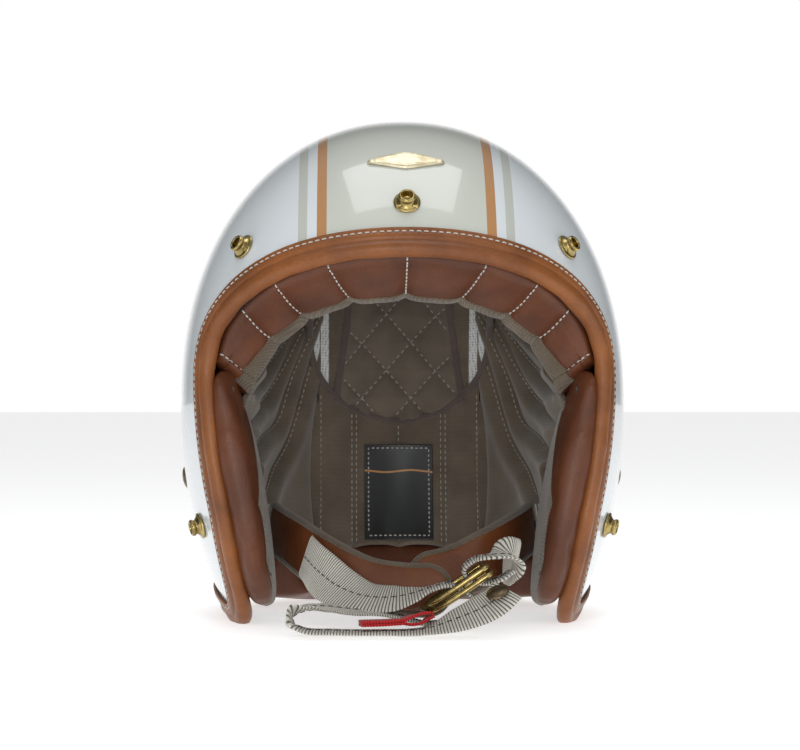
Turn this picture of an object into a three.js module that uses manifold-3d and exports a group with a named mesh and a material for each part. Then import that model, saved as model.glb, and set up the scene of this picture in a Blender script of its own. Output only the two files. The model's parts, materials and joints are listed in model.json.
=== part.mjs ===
// Open face motorcycle helmet. Millimetres, +Z up, the face opening looks along -Y,
// the wearer's left is +X, and the finished helmet stands on z = 0 on its edge trim.

import * as THREE from 'three';
import { mergeVertices } from 'three/addons/utils/BufferGeometryUtils.js';
import Module from 'manifold-3d';

const wasm = await Module();
wasm.setup();

// ---- Driving dimensions ----

// The shell's outer surface is a superellipsoid.
const HALF_WIDTH = 123;
const HALF_LENGTH = 141;
const EQUATOR = 114; // height of its widest level
const FLOOR = -5.8; // height of the ground, on which the finished helmet stands
const CROWN_RISE = 155; // above the widest level
const LOWER_DROP = 180; // below it, cut off by the rim
const POWER = 2.12;
const SEGMENTS = 24;
const RINGS = 16;

// Layers, as depths below the outer surface.
const SHELL_THICKNESS = 4;
const FOAM_OUT = 4.6;
const FOAM_IN = 28;
const LINER_OUT = 28.5;
const LINER_IN = 38;
const CROWN_PAD_OUT = 38.4;
const CROWN_PAD_IN = 43.5;
const LABEL_IN = 39.4;
const CHEEK_PLATE_IN = 14;
const CHEEK_PAD_OUT = 4.8; // the pad wraps round its plate and reaches the shell
const NECK_ROLL_OUT = 5;
const NECK_ROLL_IN = 36;
const NECK_ROLL_DROP = 7; // how far the roll reaches below the shell's edge

// The rim, seen from the side as (y, z), from the brow to the nape.
const BROW_HEIGHT = 198;
const NAPE_HEIGHT = 1.4;
const RIM_SIDE = [
  [-103, 186], [-85, 170], [-72.5, 152.5], [-69, 134], [-73, 103], [-75.5, 72], [-74.5, 50],
  [-67, 25], [-56.5, 7.5], [-42, -0.5], [-20, 3.4], [15, 7.5], [60, 6.5], [95, 3.2],
];
const RIM_STEPS = 60;

// Edge trim: a rolled leather bead with a flap stitched over the shell.
const BEAD_RADIUS = 4.4;
const BEAD_OUT = 4.8; // bead centre beyond the shell's edge
const BEAD_IN = 2; // bead centre below the outer surface
const FLAP_WIDTH = 6.2;
const FLAP_LIFT = 0.5;
const FLAP_TOP = 1.9;
const GAP = 0.4;

// Brow pad, swept along the rim between the temples.
const BROW_PAD_END = 0.1443; // share of the rim's length on each side of the brow
const BROW_PAD_FRONT = 7.5;
const BROW_PAD_BACK = -13;
const BROW_PAD_TOP = -7.4;
const BROW_PAD_DEPTH = 55; // at the centre
const TEMPLE_PAD_DEPTH = 28; // at its ends
const BROW_ROOM_AHEAD = 26; // the liner is cut away this far in front of the brow pad

// Liner panels.
const PANEL_HALF = 48;
const PANEL_GAP = 0.3;
const CROWN_PAD_HALF = 53;
const CROWN_QUILT_HALF = 36;
const CROWN_PAD_LOW = 101; // height of the pad's rounded rear end
const CROWN_PAD_FRONT = -52;
const LABEL_HALF = 21;
const LABEL_LOW = 29;
const LABEL_HIGH = 86;
const NECK_ROLL_HIGH = 26;
const LINER_LOW = 27;
const LINER_REAR_Y = 25; // front end of the liner's lower part

// Snap studs: [name, x, y, z] of a point that the stud's axis passes near.
const STUDS = [
  ['center', 0, -108.6, 216.5],
  ['brow_right', -84, -77.5, 194.4],
  ['brow_left', 84, -77.5, 194.4],
  ['side_right', -110, -48, 46.6],
  ['side_left', 110, -48, 46.6],
];
const STUD_FLANGE_R = 7;
const STUD_POST_R = 4.4;
const STUD_BORE_R = 2.9;
const STUD_HEIGHT = 6.4;
const SHANK_R = 2.2;
const HOLE_R = 2.6;
const NUT_R = 6;
const NUT_TOP = -6; // heights above the outer surface, so negative inside
const NUT_LOW = -7.4;
const SNAP_TOP = -15.8;
const SNAP_LOW = -17.6;

// Chin strap.
const RIVET = [120, 5, 71];
const ANCHOR_SIZE = [24, 20, 1.6];
const HINGE_Y = -2;
const HINGE_Z = 43;
const HINGE_X = 72;
const WEBBING = [24, 2]; // width, thickness
const SLEEVE = [28, 4.4];
const ROOT_SLEEVE = [26, 3];
const RING_INSIDE = [26, 37]; // clear width and length
const RING_WIRE = 3.4;
const RING_THICKNESS = 3;
const RING_PITCH = 4; // between the two rings
const RING_TILT = 0.6; // radians from level, bar end up
const RING_BAR = new THREE.Vector3(42.6, -102, 26.2);
const TAB = [10, 3];

// Badge on the brow, and snap cap on the strap's tail.
const BADGE_SIZE = [41, 14];
const BADGE_CENTRE = new THREE.Vector3(0, -85.6, 239.6);
const BADGE_THICKNESS = 1.2;
const CAP_R = 6;
const CHEEK_SNAPS = [[-35, 100], [-45, 40]]; // (y, z)

// ---- Solids ----

// A closed mesh as a solid. A bend can mirror a piece, so its faces are turned out again.
function toSolid(geometry) {
  const bare = geometry.clone();
  bare.deleteAttribute('normal');
  bare.deleteAttribute('uv');
  const merged = mergeVertices(bare, 1e-4);
  const index = merged.index.array;
  const kept = [];
  for (let i = 0; i < index.length; i += 3) {
    const [a, b, c] = [index[i], index[i + 1], index[i + 2]];
    if (a !== b && b !== c && c !== a) kept.push(a, b, c);
  }
  const wrap = (triangles) => new wasm.Manifold(new wasm.Mesh({
    numProp: 3,
    vertProperties: new Float32Array(merged.attributes.position.array),
    triVerts: new Uint32Array(triangles),
  }));
  const solid = wrap(kept);
  return solid.volume() > 0 ? solid : wrap(kept.reverse());
}

function toGeometry(solid) {
  const mesh = solid.getMesh();
  const geometry = new THREE.BufferGeometry();
  geometry.setAttribute('position', new THREE.BufferAttribute(mesh.vertProperties, 3));
  geometry.setIndex(new THREE.BufferAttribute(mesh.triVerts, 1));
  geometry.computeVertexNormals();
  return geometry;
}

// The largest body of a solid, without the slivers that a cut can leave.
function mainBody(solid) {
  const bodies = solid.decompose();
  return bodies.reduce((best, body) => (body.volume() > best.volume() ? body : best));
}

// Moves every vertex of a geometry by a function of its position.
function bend(geometry, move) {
  const place = geometry.attributes.position;
  for (let i = 0; i < place.count; i++) {
    const p = move(new THREE.Vector3().fromBufferAttribute(place, i), i);
    place.setXYZ(i, p.x, p.y, p.z);
  }
  return geometry;
}

function outlineOf(points) {
  return new THREE.Shape(points.map(([x, y]) => new THREE.Vector2(x, y)));
}

// ---- The egg: the superellipsoid and the layers under it ----

const CENTRE = new THREE.Vector3(0, 0, EQUATOR);

function axesOf(inset, up) {
  return [HALF_WIDTH - inset, HALF_LENGTH - inset, (up ? CROWN_RISE : LOWER_DROP) - inset];
}

// The point of the layer in the direction of p from the egg's centre.
function onLayer(p, inset) {
  const d = p.clone().sub(CENTRE);
  const [a, b, c] = axesOf(inset, d.z > 0);
  const sum = Math.abs(d.x / a) ** POWER + Math.abs(d.y / b) ** POWER + Math.abs(d.z / c) ** POWER;
  return d.multiplyScalar(sum ** (-1 / POWER)).add(CENTRE);
}

function normalAt(p) {
  const d = p.clone().sub(CENTRE);
  const [a, b, c] = axesOf(0, d.z > 0);
  const slope = (v, s) => Math.sign(v) * Math.abs(v / s) ** (POWER - 1) / s;
  return new THREE.Vector3(slope(d.x, a), slope(d.y, b), slope(d.z, c)).normalize();
}

function halfWidthAt(y, z) {
  const [a, b, c] = axesOf(0, z > EQUATOR);
  const rest = 1 - Math.abs(y / b) ** POWER - Math.abs((z - EQUATOR) / c) ** POWER;
  return a * Math.max(rest, 0) ** (1 / POWER);
}

function lengthAt(z) {
  const [, b, c] = axesOf(0, z > EQUATOR);
  return b * (1 - Math.abs((z - EQUATOR) / c) ** POWER) ** (1 / POWER);
}

function egg(inset) {
  const ball = new THREE.SphereGeometry(1, SEGMENTS, RINGS).rotateX(Math.PI / 2);
  return toSolid(bend(ball, (p) => {
    const [a, b, c] = axesOf(inset, p.z > 0);
    const size = Math.abs(p.x) ** POWER + Math.abs(p.y) ** POWER + Math.abs(p.z) ** POWER;
    return p.multiplyScalar(size ** (-1 / POWER)).multiply(new THREE.Vector3(a, b, c)).add(CENTRE);
  }));
}

const layer = (out, inside) => egg(out).subtract(egg(inside));

// An outline in (y, z) extruded across the helmet from x0 to x1.
function acrossX(shape, x0, x1) {
  const block = new THREE.ExtrudeGeometry(shape, { depth: x1 - x0, bevelEnabled: false, curveSegments: 8 });
  const turn = new THREE.Matrix4().makeBasis(
    new THREE.Vector3(0, 1, 0), new THREE.Vector3(0, 0, 1), new THREE.Vector3(1, 0, 0));
  return toSolid(block.applyMatrix4(turn).translate(x0, 0, 0));
}

// An outline in (x, z) extruded from the front, y0, to the rear, y1.
function alongY(shape, y0, y1) {
  const block = new THREE.ExtrudeGeometry(shape, { depth: y1 - y0, bevelEnabled: false, curveSegments: 10 });
  return toSolid(block.rotateX(Math.PI / 2).translate(0, y1, 0));
}

function block(low, high) {
  const size = high.map((v, i) => v - low[i]);
  const box = new THREE.BoxGeometry(...size);
  return toSolid(box.translate(...low.map((v, i) => v + size[i] / 2)));
}

// ---- The rim and what follows it ----

const rimSide = new THREE.SplineCurve([
  new THREE.Vector2(-lengthAt(BROW_HEIGHT), BROW_HEIGHT),
  ...RIM_SIDE.map(([y, z]) => new THREE.Vector2(y, z)),
  new THREE.Vector2(lengthAt(NAPE_HEIGHT), NAPE_HEIGHT),
]);

function rimPoint(t) {
  const share = 0.5 - 0.5 * Math.cos(2 * Math.PI * t);
  const side = rimSide.getPointAt(share);
  const x = share === 0 || share === 1 ? 0 : halfWidthAt(side.x, side.y);
  return new THREE.Vector3(t < 0.5 ? x : -x, side.x, side.y);
}

const rim = new THREE.CatmullRomCurve3(
  Array.from({ length: 160 }, (_, i) => rimPoint(i / 160)), true);
rim.arcLengthDivisions = 1600;

// u runs round the rim from the brow by the wearer's left, out is away from the shell's
// edge within its surface, and up is along the surface's normal.
function rimFrame(u) {
  const turn = ((u % 1) + 1) % 1;
  const at = rim.getPointAt(turn);
  const up = normalAt(at);
  const out = rim.getTangentAt(turn).cross(up).normalize();
  return { at, up, out };
}

function besideRim(u, out, up) {
  const frame = rimFrame(u);
  return frame.at.addScaledVector(frame.out, out).addScaledVector(frame.up, up);
}

const SECTION_BASE = 100; // radius at which a rim section is turned before it is bent

function aroundRim(section) {
  const points = [...section, section[0]].map(([out, up]) => new THREE.Vector2(SECTION_BASE + out, up));
  const ring = new THREE.LatheGeometry(points, RIM_STEPS);
  return toSolid(bend(ring, (p) => {
    const u = Math.atan2(p.x, p.z) / (2 * Math.PI);
    return besideRim(u, Math.hypot(p.x, p.z) - SECTION_BASE, p.y);
  }));
}

function trimSection(grow) {
  const beadAngles = [100, 60, 20, -20, -60, -100, -140, -180];
  const bead = beadAngles.map((degrees) => {
    const angle = THREE.MathUtils.degToRad(degrees);
    return [
      BEAD_OUT + (BEAD_RADIUS + grow) * Math.cos(angle),
      -BEAD_IN + (BEAD_RADIUS + grow) * Math.sin(angle),
    ];
  });
  const inner = BEAD_OUT - BEAD_RADIUS - grow;
  return [
    [-FLAP_WIDTH - grow, FLAP_LIFT - grow], [-FLAP_WIDTH - grow, FLAP_TOP + grow],
    ...bead, [inner, FLAP_LIFT - grow],
  ];
}

// The brow pad: a long block bent along the rim, deepest over the forehead.
// Grown and taken further ahead, it is the room the liner leaves for it.
function browPad(grow, ahead = 0) {
  const steps = 24;
  const bar = new THREE.BoxGeometry(1, 1, 1, steps, 1, 3);
  const end = BROW_PAD_END + grow / 1000;
  return toSolid(bend(bar, (p) => {
    const u = 2 * end * p.x;
    const ease = Math.cos(Math.PI * p.x) ** 0.8;
    const depth = TEMPLE_PAD_DEPTH + (BROW_PAD_DEPTH - TEMPLE_PAD_DEPTH) * ease + grow;
    const top = BROW_PAD_TOP + grow;
    const swell = p.y > 0 ? 1.5 * Math.cos(Math.PI * p.z) : 0;
    const front = BROW_PAD_FRONT + grow + ahead;
    const back = BROW_PAD_BACK - grow;
    const out = (front + back) / 2 + (front - back) * p.y + swell;
    return besideRim(u, out, top + (p.z - 0.5) * (depth + top));
  }));
}

// ---- Turned pieces that stand on the surface ----

function turned(profile, base, direction, sides = 10) {
  const points = profile.map(([r, h]) => new THREE.Vector2(r, h));
  const piece = new THREE.LatheGeometry(points, sides);
  const turn = new THREE.Quaternion().setFromUnitVectors(new THREE.Vector3(0, 1, 0), direction);
  return toSolid(piece.applyQuaternion(turn).translate(base.x, base.y, base.z));
}

// A plain disc between two heights above the outer surface at a point.
function disc(at, radius, low, high, sides = 10) {
  const base = onLayer(at, 0);
  return turned([[0, low], [radius, low], [radius, high], [0, high]], base, normalAt(base), sides);
}

function ringDisc(at, inner, outer, low, high) {
  const base = onLayer(at, 0);
  const profile = [[inner, low], [outer, low], [outer, high], [inner, high], [inner, low]];
  return turned(profile, base, normalAt(base));
}

function stud(at) {
  const base = onLayer(at, 0);
  const low = GAP;
  const floor = 2;
  return turned([
    [0, NUT_LOW], [SHANK_R, NUT_LOW], [SHANK_R, low], [STUD_FLANGE_R, low], [STUD_FLANGE_R, low + 1.2],
    [STUD_POST_R + 0.6, low + 1.8], [STUD_POST_R - 0.6, low + 3.4], [STUD_POST_R, STUD_HEIGHT - 0.6],
    [STUD_POST_R - 0.5, STUD_HEIGHT], [STUD_BORE_R, STUD_HEIGHT], [STUD_BORE_R, floor], [0, floor],
  ], base, normalAt(base));
}

// ---- Straps ----

// A flat ribbon: stations are [x, y, z, wx, wy, wz], the centre and the width's direction.
function ribbon(stations, [width, thickness], steps, across = 1) {
  const places = stations.map((s) => new THREE.Vector3(s[0], s[1], s[2]));
  const leans = stations.map((s) => new THREE.Vector3(s[3], s[4], s[5]));
  const path = new THREE.CatmullRomCurve3(places, false, 'centripetal');
  const lean = new THREE.CatmullRomCurve3(leans, false, 'centripetal');
  path.arcLengthDivisions = 800;
  const strip = new THREE.BoxGeometry(1, 1, 1, steps, across, 1);
  return bend(strip, (p) => {
    const share = path.getUtoTmapping(p.x + 0.5);
    const along = path.getTangent(share);
    const side = lean.getPoint(share);
    side.addScaledVector(along, -side.dot(along)).normalize();
    const up = side.clone().cross(along);
    return path.getPoint(share)
      .addScaledVector(side, p.y * width).addScaledVector(up, -p.z * thickness);
  });
}

const ROOT = [
  [108, 6, 67, 0, 1, 0], [105.5, 6, 57, 0, 1, 0.1], [97, 4.5, 48, 0, 0.85, 0.5], [86, 2, 44, 0, 0.5, 0.85],
  [HINGE_X + 3.4, -0.4, HINGE_Z, 0, 0.1, 1],
];
const SLEEVE_RIGHT = [
  [-HINGE_X, HINGE_Y, HINGE_Z, 0, 0.1, 1], [-60, -30, 37, 0, 0.2, 1], [-42, -56, 26.5, 0, 0.35, 1],
  [-22, -73, 18, 0, 0.4, 1], [2, -79, 14.8, 0, 0.35, 1], [23, -81, 15.2, 0, 0.3, 1],
];
const SLEEVE_LEFT = [
  [HINGE_X, HINGE_Y, HINGE_Z, 0, 0.1, 1], [61, -28, 38, 0, 0.2, 1], [46, -50, 31, 0, 0.35, 1],
  [27, -62, 23, 0, 0.4, 1], [4, -68, 18.5, 0, 0.4, 1],
];
// The long webbing: out of the right sleeve, through both rings, round and under them, left to a
// bight, and back along the ground to its loose end.
const LONG_WEBBING = [
  [-53, -53, 31, 0.1, 0.2, 1], [-46, -70, 24.5, 0.1, 0.5, 1], [-36, -85, 17.4, 0.05, 0.8, 0.8],
  [-23, -96, 12.8, 0, 0.87, 0.55], [-8, -101, 12.2, 0, 0.9, 0.5], [4, -102, 14.4, 0, 0.97, 0.25],
  [13, -102, 17.4, 0, 1, 0], [21, -102, 19.4, 0, 1, 0], [28, -102, 17.8, 0, 1, 0],
  [33.6, -102, 13, 0, 1, 0], [34.8, -102, 7.4, 0, 1, 0], [31, -102, 2.6, 0, 1, 0],
  [21, -102, 0.4, 0, 1, 0], [10, -101.6, -0.7, 0, 1, 0], [-1, -101.6, 2.2, 0, 1, 0],
  [-12, -102.6, 4.8, 0.05, 1, 0], [-26, -106, 6.2, 0.2, 1, 0], [-42, -113, 8.6, 0.3, 1, 0],
  [-53, -119.5, 8.6, 0.25, 1, 0], [-59.2, -123.5, 5.6, 0.15, 1, 0], [-58.6, -126, 1.6, 0, 1, 0],
  [-52.6, -127, -1.5, 0, 1, 0], [-38, -127.5, -2.3, 0, 1, 0], [-15, -128, -2.5, 0, 1, 0],
  [8, -128.4, -1.8, 0, 1, 0.04], [24, -129, 3.4, 0, 0.9, 0.4], [37, -128.6, 8.8, 0, 0.82, 0.57],
  [45, -127, 13.4, 0, 0.8, 0.6], [51, -124.6, 18.6, 0, 0.8, 0.6],
];
// The short webbing: out of the left sleeve, over both ring bars and back under them.
const SHORT_WEBBING = [
  [54, -53, 28, 0, 0.2, 1], [57.5, -68, 28, 0.1, 0.5, 0.9], [57.6, -86, 30.6, 0.2, 0.9, 0.5],
  [53.6, -97, 34, 0.1, 1, 0.1], [45, -102, 34.2, 0, 1, 0], [35, -102, 32.4, 0, 1, 0],
  [29.6, -102, 27.4, 0, 1, 0], [32, -102, 22.6, 0, 1, 0], [40, -102, 20.6, 0, 1, 0],
  [49, -102, 22.8, 0, 1, 0], [54.6, -101, 26.4, 0, 1, 0],
];
const RED_TAB = [
  [11.6, -119, 5.4, 0.45, 1, 0.1], [4, -122.8, 3.4, 0.45, 1, 0], [-9, -127, 2.6, 0.3, 1, 0],
  [-24, -130.4, 2.4, 0.2, 1, 0],
];

// A D-ring lies in a plane through its bar, level across and tilted down toward its bow.
function dRing(level) {
  const [wide, long] = RING_INSIDE;
  const half = wide / 2;
  const bow = long * 0.55;
  const outer = new THREE.Shape();
  const w = half + RING_WIRE;
  outer.moveTo(-w, RING_WIRE / 2);
  outer.lineTo(-w, -(long - bow));
  outer.absellipse(0, -(long - bow), w, bow + RING_WIRE, Math.PI, 2 * Math.PI, false);
  outer.lineTo(w, RING_WIRE / 2);
  const hole = new THREE.Path();
  hole.moveTo(-half, -RING_WIRE / 2);
  hole.lineTo(half, -RING_WIRE / 2);
  hole.lineTo(half, -(long - bow));
  hole.absellipse(0, -(long - bow), half, bow, 0, -Math.PI, true);
  outer.holes.push(hole);
  const plate = new THREE.ExtrudeGeometry(outer, {
    depth: RING_THICKNESS, bevelEnabled: false, curveSegments: 8,
  }).translate(0, 0, -RING_THICKNESS / 2 + level);
  const along = new THREE.Vector3(Math.cos(RING_TILT), 0, Math.sin(RING_TILT));
  const across = new THREE.Vector3(0, -1, 0);
  const normal = across.clone().cross(along);
  const place = new THREE.Matrix4().makeBasis(across, along, normal).setPosition(RING_BAR);
  return toSolid(plate.applyMatrix4(place));
}

// ---- Side views and cross outlines used as cutters ----

const shellSide = (() => {
  const edge = rimSide.getSpacedPoints(30);
  return new THREE.Shape([
    new THREE.Vector2(-200, 270), ...edge, new THREE.Vector2(200, NAPE_HEIGHT), new THREE.Vector2(200, 300),
    new THREE.Vector2(-200, 300),
  ]);
})();

const LINER_SIDE = [
  [-125, 205], [-58, 135], [-9, 135], [-9, 88], [LINER_REAR_Y, 88], [LINER_REAR_Y, LINER_LOW],
  [150, LINER_LOW], [150, 280], [-125, 280],
];
const CHEEK_SIDE = [
  [-12, 14], [-36, 3], [-55, 0], [-70, 6], [-82, 26], [-87, 52], [-86.5, 80], [-83.5, 108],
  [-80, 132], [-56, 133], [-30, 128], [-12, 112],
];
const PLATE_FRONT = -72;
const PLATE_LOW = 22;
const PLATE_HIGH = 122;
const CHEEK_REAR = -12;
const CHEEK_INSIDE = [[69.5, 0], [72, 22], [75, 46], [81, 86], [92, 122], [96, 140]]; // half-width, height

const crownOutline = (half, low) => {
  const shape = new THREE.Shape();
  shape.moveTo(-half, 300);
  shape.lineTo(-half, low + half * 0.9);
  shape.absellipse(0, low + half * 0.9, half, half * 0.9, Math.PI, 2 * Math.PI, false);
  shape.lineTo(half, 300);
  return shape;
};

// ---- Build the solids ----

const trim = aroundRim(trimSection(0)).intersect(block([-200, -200, FLOOR], [200, 200, 300]));
const trimRoom = aroundRim(trimSection(GAP));
const brow = browPad(0);
const browRoom = browPad(GAP);
const drill = (at, radius, low, high) => disc(at, radius, low, high, 10);

const studPoints = STUDS.map(([name, x, y, z]) => [name, new THREE.Vector3(x, y, z)]);
const rivetPoints = [-1, 1].map((side) => new THREE.Vector3(side * RIVET[0], RIVET[1], RIVET[2]));
const sideOf = (side) => (side > 0 ? 'left' : 'right');

const shellRegion = acrossX(shellSide, -200, 200);
let shell = layer(0, SHELL_THICKNESS).intersect(shellRegion).subtract(trimRoom);
for (const at of [...studPoints.map((s) => s[1]), ...rivetPoints]) {
  shell = shell.subtract(drill(at, HOLE_R, -10, 4));
}

const linerRegion = acrossX(outlineOf(LINER_SIDE), -200, 200)
  .subtract(browRoom).subtract(browPad(GAP, BROW_ROOM_AHEAD)).subtract(trimRoom);
const nutRoom = (at) => disc(at, NUT_R + GAP, NUT_LOW - 1, -3, 10);

let foam = layer(FOAM_OUT, FOAM_IN).intersect(linerRegion);
for (const [, at] of studPoints) foam = foam.subtract(nutRoom(at));

const liner = layer(LINER_OUT, LINER_IN).intersect(linerRegion);
const panelRegion = block([-PANEL_HALF, -200, FLOOR], [PANEL_HALF, 200, 300]);
const sideRegion = (side, x) => (side > 0
  ? block([x, -200, FLOOR], [200, 200, 300])
  : block([-200, -200, FLOOR], [-x, 200, 300]));

const crownLayer = layer(CROWN_PAD_OUT, CROWN_PAD_IN).intersect(linerRegion);
const crownWhole = crownLayer.intersect(
  alongY(crownOutline(CROWN_PAD_HALF, CROWN_PAD_LOW), CROWN_PAD_FRONT, 200));
const quiltRoom = alongY(
  crownOutline(CROWN_QUILT_HALF + PANEL_GAP, CROWN_PAD_LOW - 20), CROWN_PAD_FRONT, 200);
const crownPad = crownWhole.intersect(
  alongY(crownOutline(CROWN_QUILT_HALF, CROWN_PAD_LOW - 20), CROWN_PAD_FRONT, 200));
const crownMesh = (side) => crownWhole.subtract(quiltRoom).intersect(sideRegion(side, 1));

const label = layer(CROWN_PAD_OUT, LABEL_IN)
  .intersect(block([-LABEL_HALF, 0, LABEL_LOW], [LABEL_HALF, 200, LABEL_HIGH]));

const neckRoll = layer(NECK_ROLL_OUT, NECK_ROLL_IN)
  .intersect(block([-200, LINER_REAR_Y, FLOOR + 1], [200, 200, NECK_ROLL_HIGH]))
  .intersect(shellRegion.translate([0, 0, -NECK_ROLL_DROP]))
  .subtract(trimRoom);

const cheekInside = alongY(outlineOf([
  ...CHEEK_INSIDE, ...CHEEK_INSIDE.map(([x, z]) => [-x, z]).reverse(),
]), -200, 200);

// The space of a cheek pad's carrier plate, grown by a gap.
function plateRegion(side, grow) {
  const x0 = side > 0 ? 50 : -200;
  return block([x0, PLATE_FRONT - grow, PLATE_LOW - grow], [x0 + 150, CHEEK_REAR + grow, PLATE_HIGH + grow]);
}

function cheekPlate(side) {
  let plate = layer(FOAM_OUT, CHEEK_PLATE_IN).intersect(plateRegion(side, 0)).subtract(trimRoom);
  for (const [, at] of studPoints) plate = plate.subtract(nutRoom(at));
  return plate;
}

const snapPoint = (side, [y, z]) => new THREE.Vector3(side * halfWidthAt(y, z), y, z);

function cheekPad(side) {
  let pad = egg(CHEEK_PAD_OUT)
    .intersect(acrossX(outlineOf(CHEEK_SIDE), -200, 200))
    .intersect(sideRegion(side, 50))
    .subtract(cheekInside).subtract(trimRoom).subtract(browRoom)
    .subtract(layer(0, CHEEK_PLATE_IN + GAP).intersect(plateRegion(side, GAP)));
  for (const at of CHEEK_SNAPS) {
    pad = pad.subtract(disc(snapPoint(side, at), CAP_R + GAP, SNAP_LOW - GAP, -10, 10));
  }
  return pad;
}

function rivetPiece(at) {
  const base = onLayer(at, 0);
  return turned([
    [0, -9], [SHANK_R, -9], [SHANK_R, GAP], [6, GAP], [5.6, GAP + 1], [3.4, GAP + 1.9], [0, GAP + 2.2],
  ], base, normalAt(base));
}

function anchorPlate(at) {
  const base = onLayer(at, 0);
  const normal = normalAt(base);
  const plate = new THREE.BoxGeometry(...ANCHOR_SIZE);
  const upward = new THREE.Vector3(0, 0, 1);
  const along = upward.clone().addScaledVector(normal, -upward.dot(normal)).normalize();
  const across = along.clone().cross(normal);
  const middle = base.clone().addScaledVector(normal, -SHELL_THICKNESS - 3.4).addScaledVector(along, -3);
  const place = new THREE.Matrix4().makeBasis(across, along, normal).setPosition(middle);
  return toSolid(plate.applyMatrix4(place)).subtract(drill(at, HOLE_R, -14, 0));
}

// A pointed oval plate that follows the shell.
function badgePlate() {
  const [wide, high] = BADGE_SIZE;
  const plate = new THREE.BoxGeometry(1, 1, 1, 8, 3, 1);
  const normal = normalAt(onLayer(BADGE_CENTRE, 0));
  const slope = new THREE.Vector3(1, 0, 0).cross(normal).negate();
  return toSolid(bend(plate, (p) => {
    const taper = 1.03 - Math.abs(2 * p.x) ** 1.3;
    const spot = BADGE_CENTRE.clone().addScaledVector(slope, p.y * high * taper);
    spot.x += p.x * wide;
    const foot = onLayer(spot, 0);
    return foot.addScaledVector(normalAt(foot), GAP + (p.z + 0.5) * BADGE_THICKNESS);
  }));
}

function tailSnap() {
  const base = new THREE.Vector3(46.2, -127.2, 16.2);
  const out = new THREE.Vector3(-0.3, -0.45, 0.84).normalize();
  return turned([[0, 1.5], [CAP_R, 1.5], [CAP_R, 2.7], [3.5, 3.4], [0, 3.6]], base, out);
}

// ---- The assembly ----

const FINISH = {
  paint: { color: 0xeef2f5, roughness: 0.12, metalness: 0 },
  foam: { color: 0x2c2c2e, roughness: 0.9, metalness: 0 },
  cognac: { color: 0x8c5230, roughness: 0.5, metalness: 0 },
  brown: { color: 0x5e3322, roughness: 0.5, metalness: 0 },
  knit: { color: 0x5a5044, roughness: 0.95, metalness: 0 },
  mesh: { color: 0x9a9d96, roughness: 0.9, metalness: 0 },
  satin: { color: 0x101314, roughness: 0.35, metalness: 0 },
  brass: { color: 0xb39a55, roughness: 0.25, metalness: 1 },
  steel: { color: 0x8c8f92, roughness: 0.35, metalness: 1 },
  webbing: { color: 0xdedaca, roughness: 0.85, metalness: 0 },
  red: { color: 0xc40d12, roughness: 0.8, metalness: 0 },
  plastic: { color: 0x222222, roughness: 0.5, metalness: 0 },
};

const helmet = new THREE.Group();

function add(name, finish, solid) {
  const geometry = toGeometry(mainBody(solid).translate([0, 0, -FLOOR]));
  const mesh = new THREE.Mesh(geometry, new THREE.MeshStandardMaterial(FINISH[finish]));
  mesh.name = name;
  helmet.add(mesh);
}

add('outer_shell', 'paint', shell);
add('impact_liner', 'foam', foam);
add('edge_trim', 'cognac', trim);
add('brow_pad', 'brown', brow);
add('crown_pad', 'knit', crownPad);
add('nape_panel', 'knit', liner.intersect(panelRegion));
add('liner_label', 'satin', label);
add('neck_roll', 'brown', neckRoll);
add('badge', 'brass', badgePlate());

for (const side of [-1, 1]) {
  add(`liner_side_${sideOf(side)}`, 'knit', liner.intersect(sideRegion(side, PANEL_HALF + PANEL_GAP)));
  add(`crown_mesh_${sideOf(side)}`, 'mesh', crownMesh(side));
  add(`cheek_plate_${sideOf(side)}`, 'plastic', cheekPlate(side));
  add(`cheek_pad_${sideOf(side)}`, 'brown', cheekPad(side));
  CHEEK_SNAPS.forEach((spot, i) => {
    const snap = disc(snapPoint(side, spot), CAP_R, SNAP_LOW, SNAP_TOP, 10);
    add(`cheek_snap_${sideOf(side)}_${i + 1}`, 'steel', snap);
  });
}

for (const [name, at] of studPoints) {
  add(`stud_${name}`, 'brass', stud(at));
  add(`stud_nut_${name}`, 'steel', ringDisc(at, HOLE_R, NUT_R, NUT_LOW, NUT_TOP));
}

rivetPoints.forEach((at, i) => {
  const name = sideOf(i ? 1 : -1);
  add(`strap_rivet_${name}`, 'steel', rivetPiece(at));
  add(`strap_anchor_${name}`, 'steel', anchorPlate(at));
});

const strapRoot = toSolid(ribbon(ROOT, ROOT_SLEEVE, 14, 3));
add('strap_root_left', 'webbing', strapRoot);
add('strap_root_right', 'webbing', strapRoot.mirror([1, 0, 0]));
add('strap_sleeve_right', 'brown', toSolid(ribbon(SLEEVE_RIGHT, SLEEVE, 16)));
add('strap_sleeve_left', 'brown', toSolid(ribbon(SLEEVE_LEFT, SLEEVE, 14)));
add('strap_webbing_long', 'webbing', toSolid(ribbon(LONG_WEBBING, WEBBING, 64)));
add('strap_webbing_short', 'webbing', toSolid(ribbon(SHORT_WEBBING, WEBBING, 26)));
add('d_ring_outer', 'brass', dRing(0));
add('d_ring_inner', 'brass', dRing(RING_PITCH));
add('pull_tab', 'red', toSolid(ribbon(RED_TAB, TAB, 6)));
add('tail_snap', 'steel', tailSnap());

export default helmet;
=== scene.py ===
import json
import math
from contextlib import contextmanager

import bmesh
import bpy
import numpy as np
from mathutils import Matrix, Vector
from mathutils.kdtree import KDTree

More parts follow.
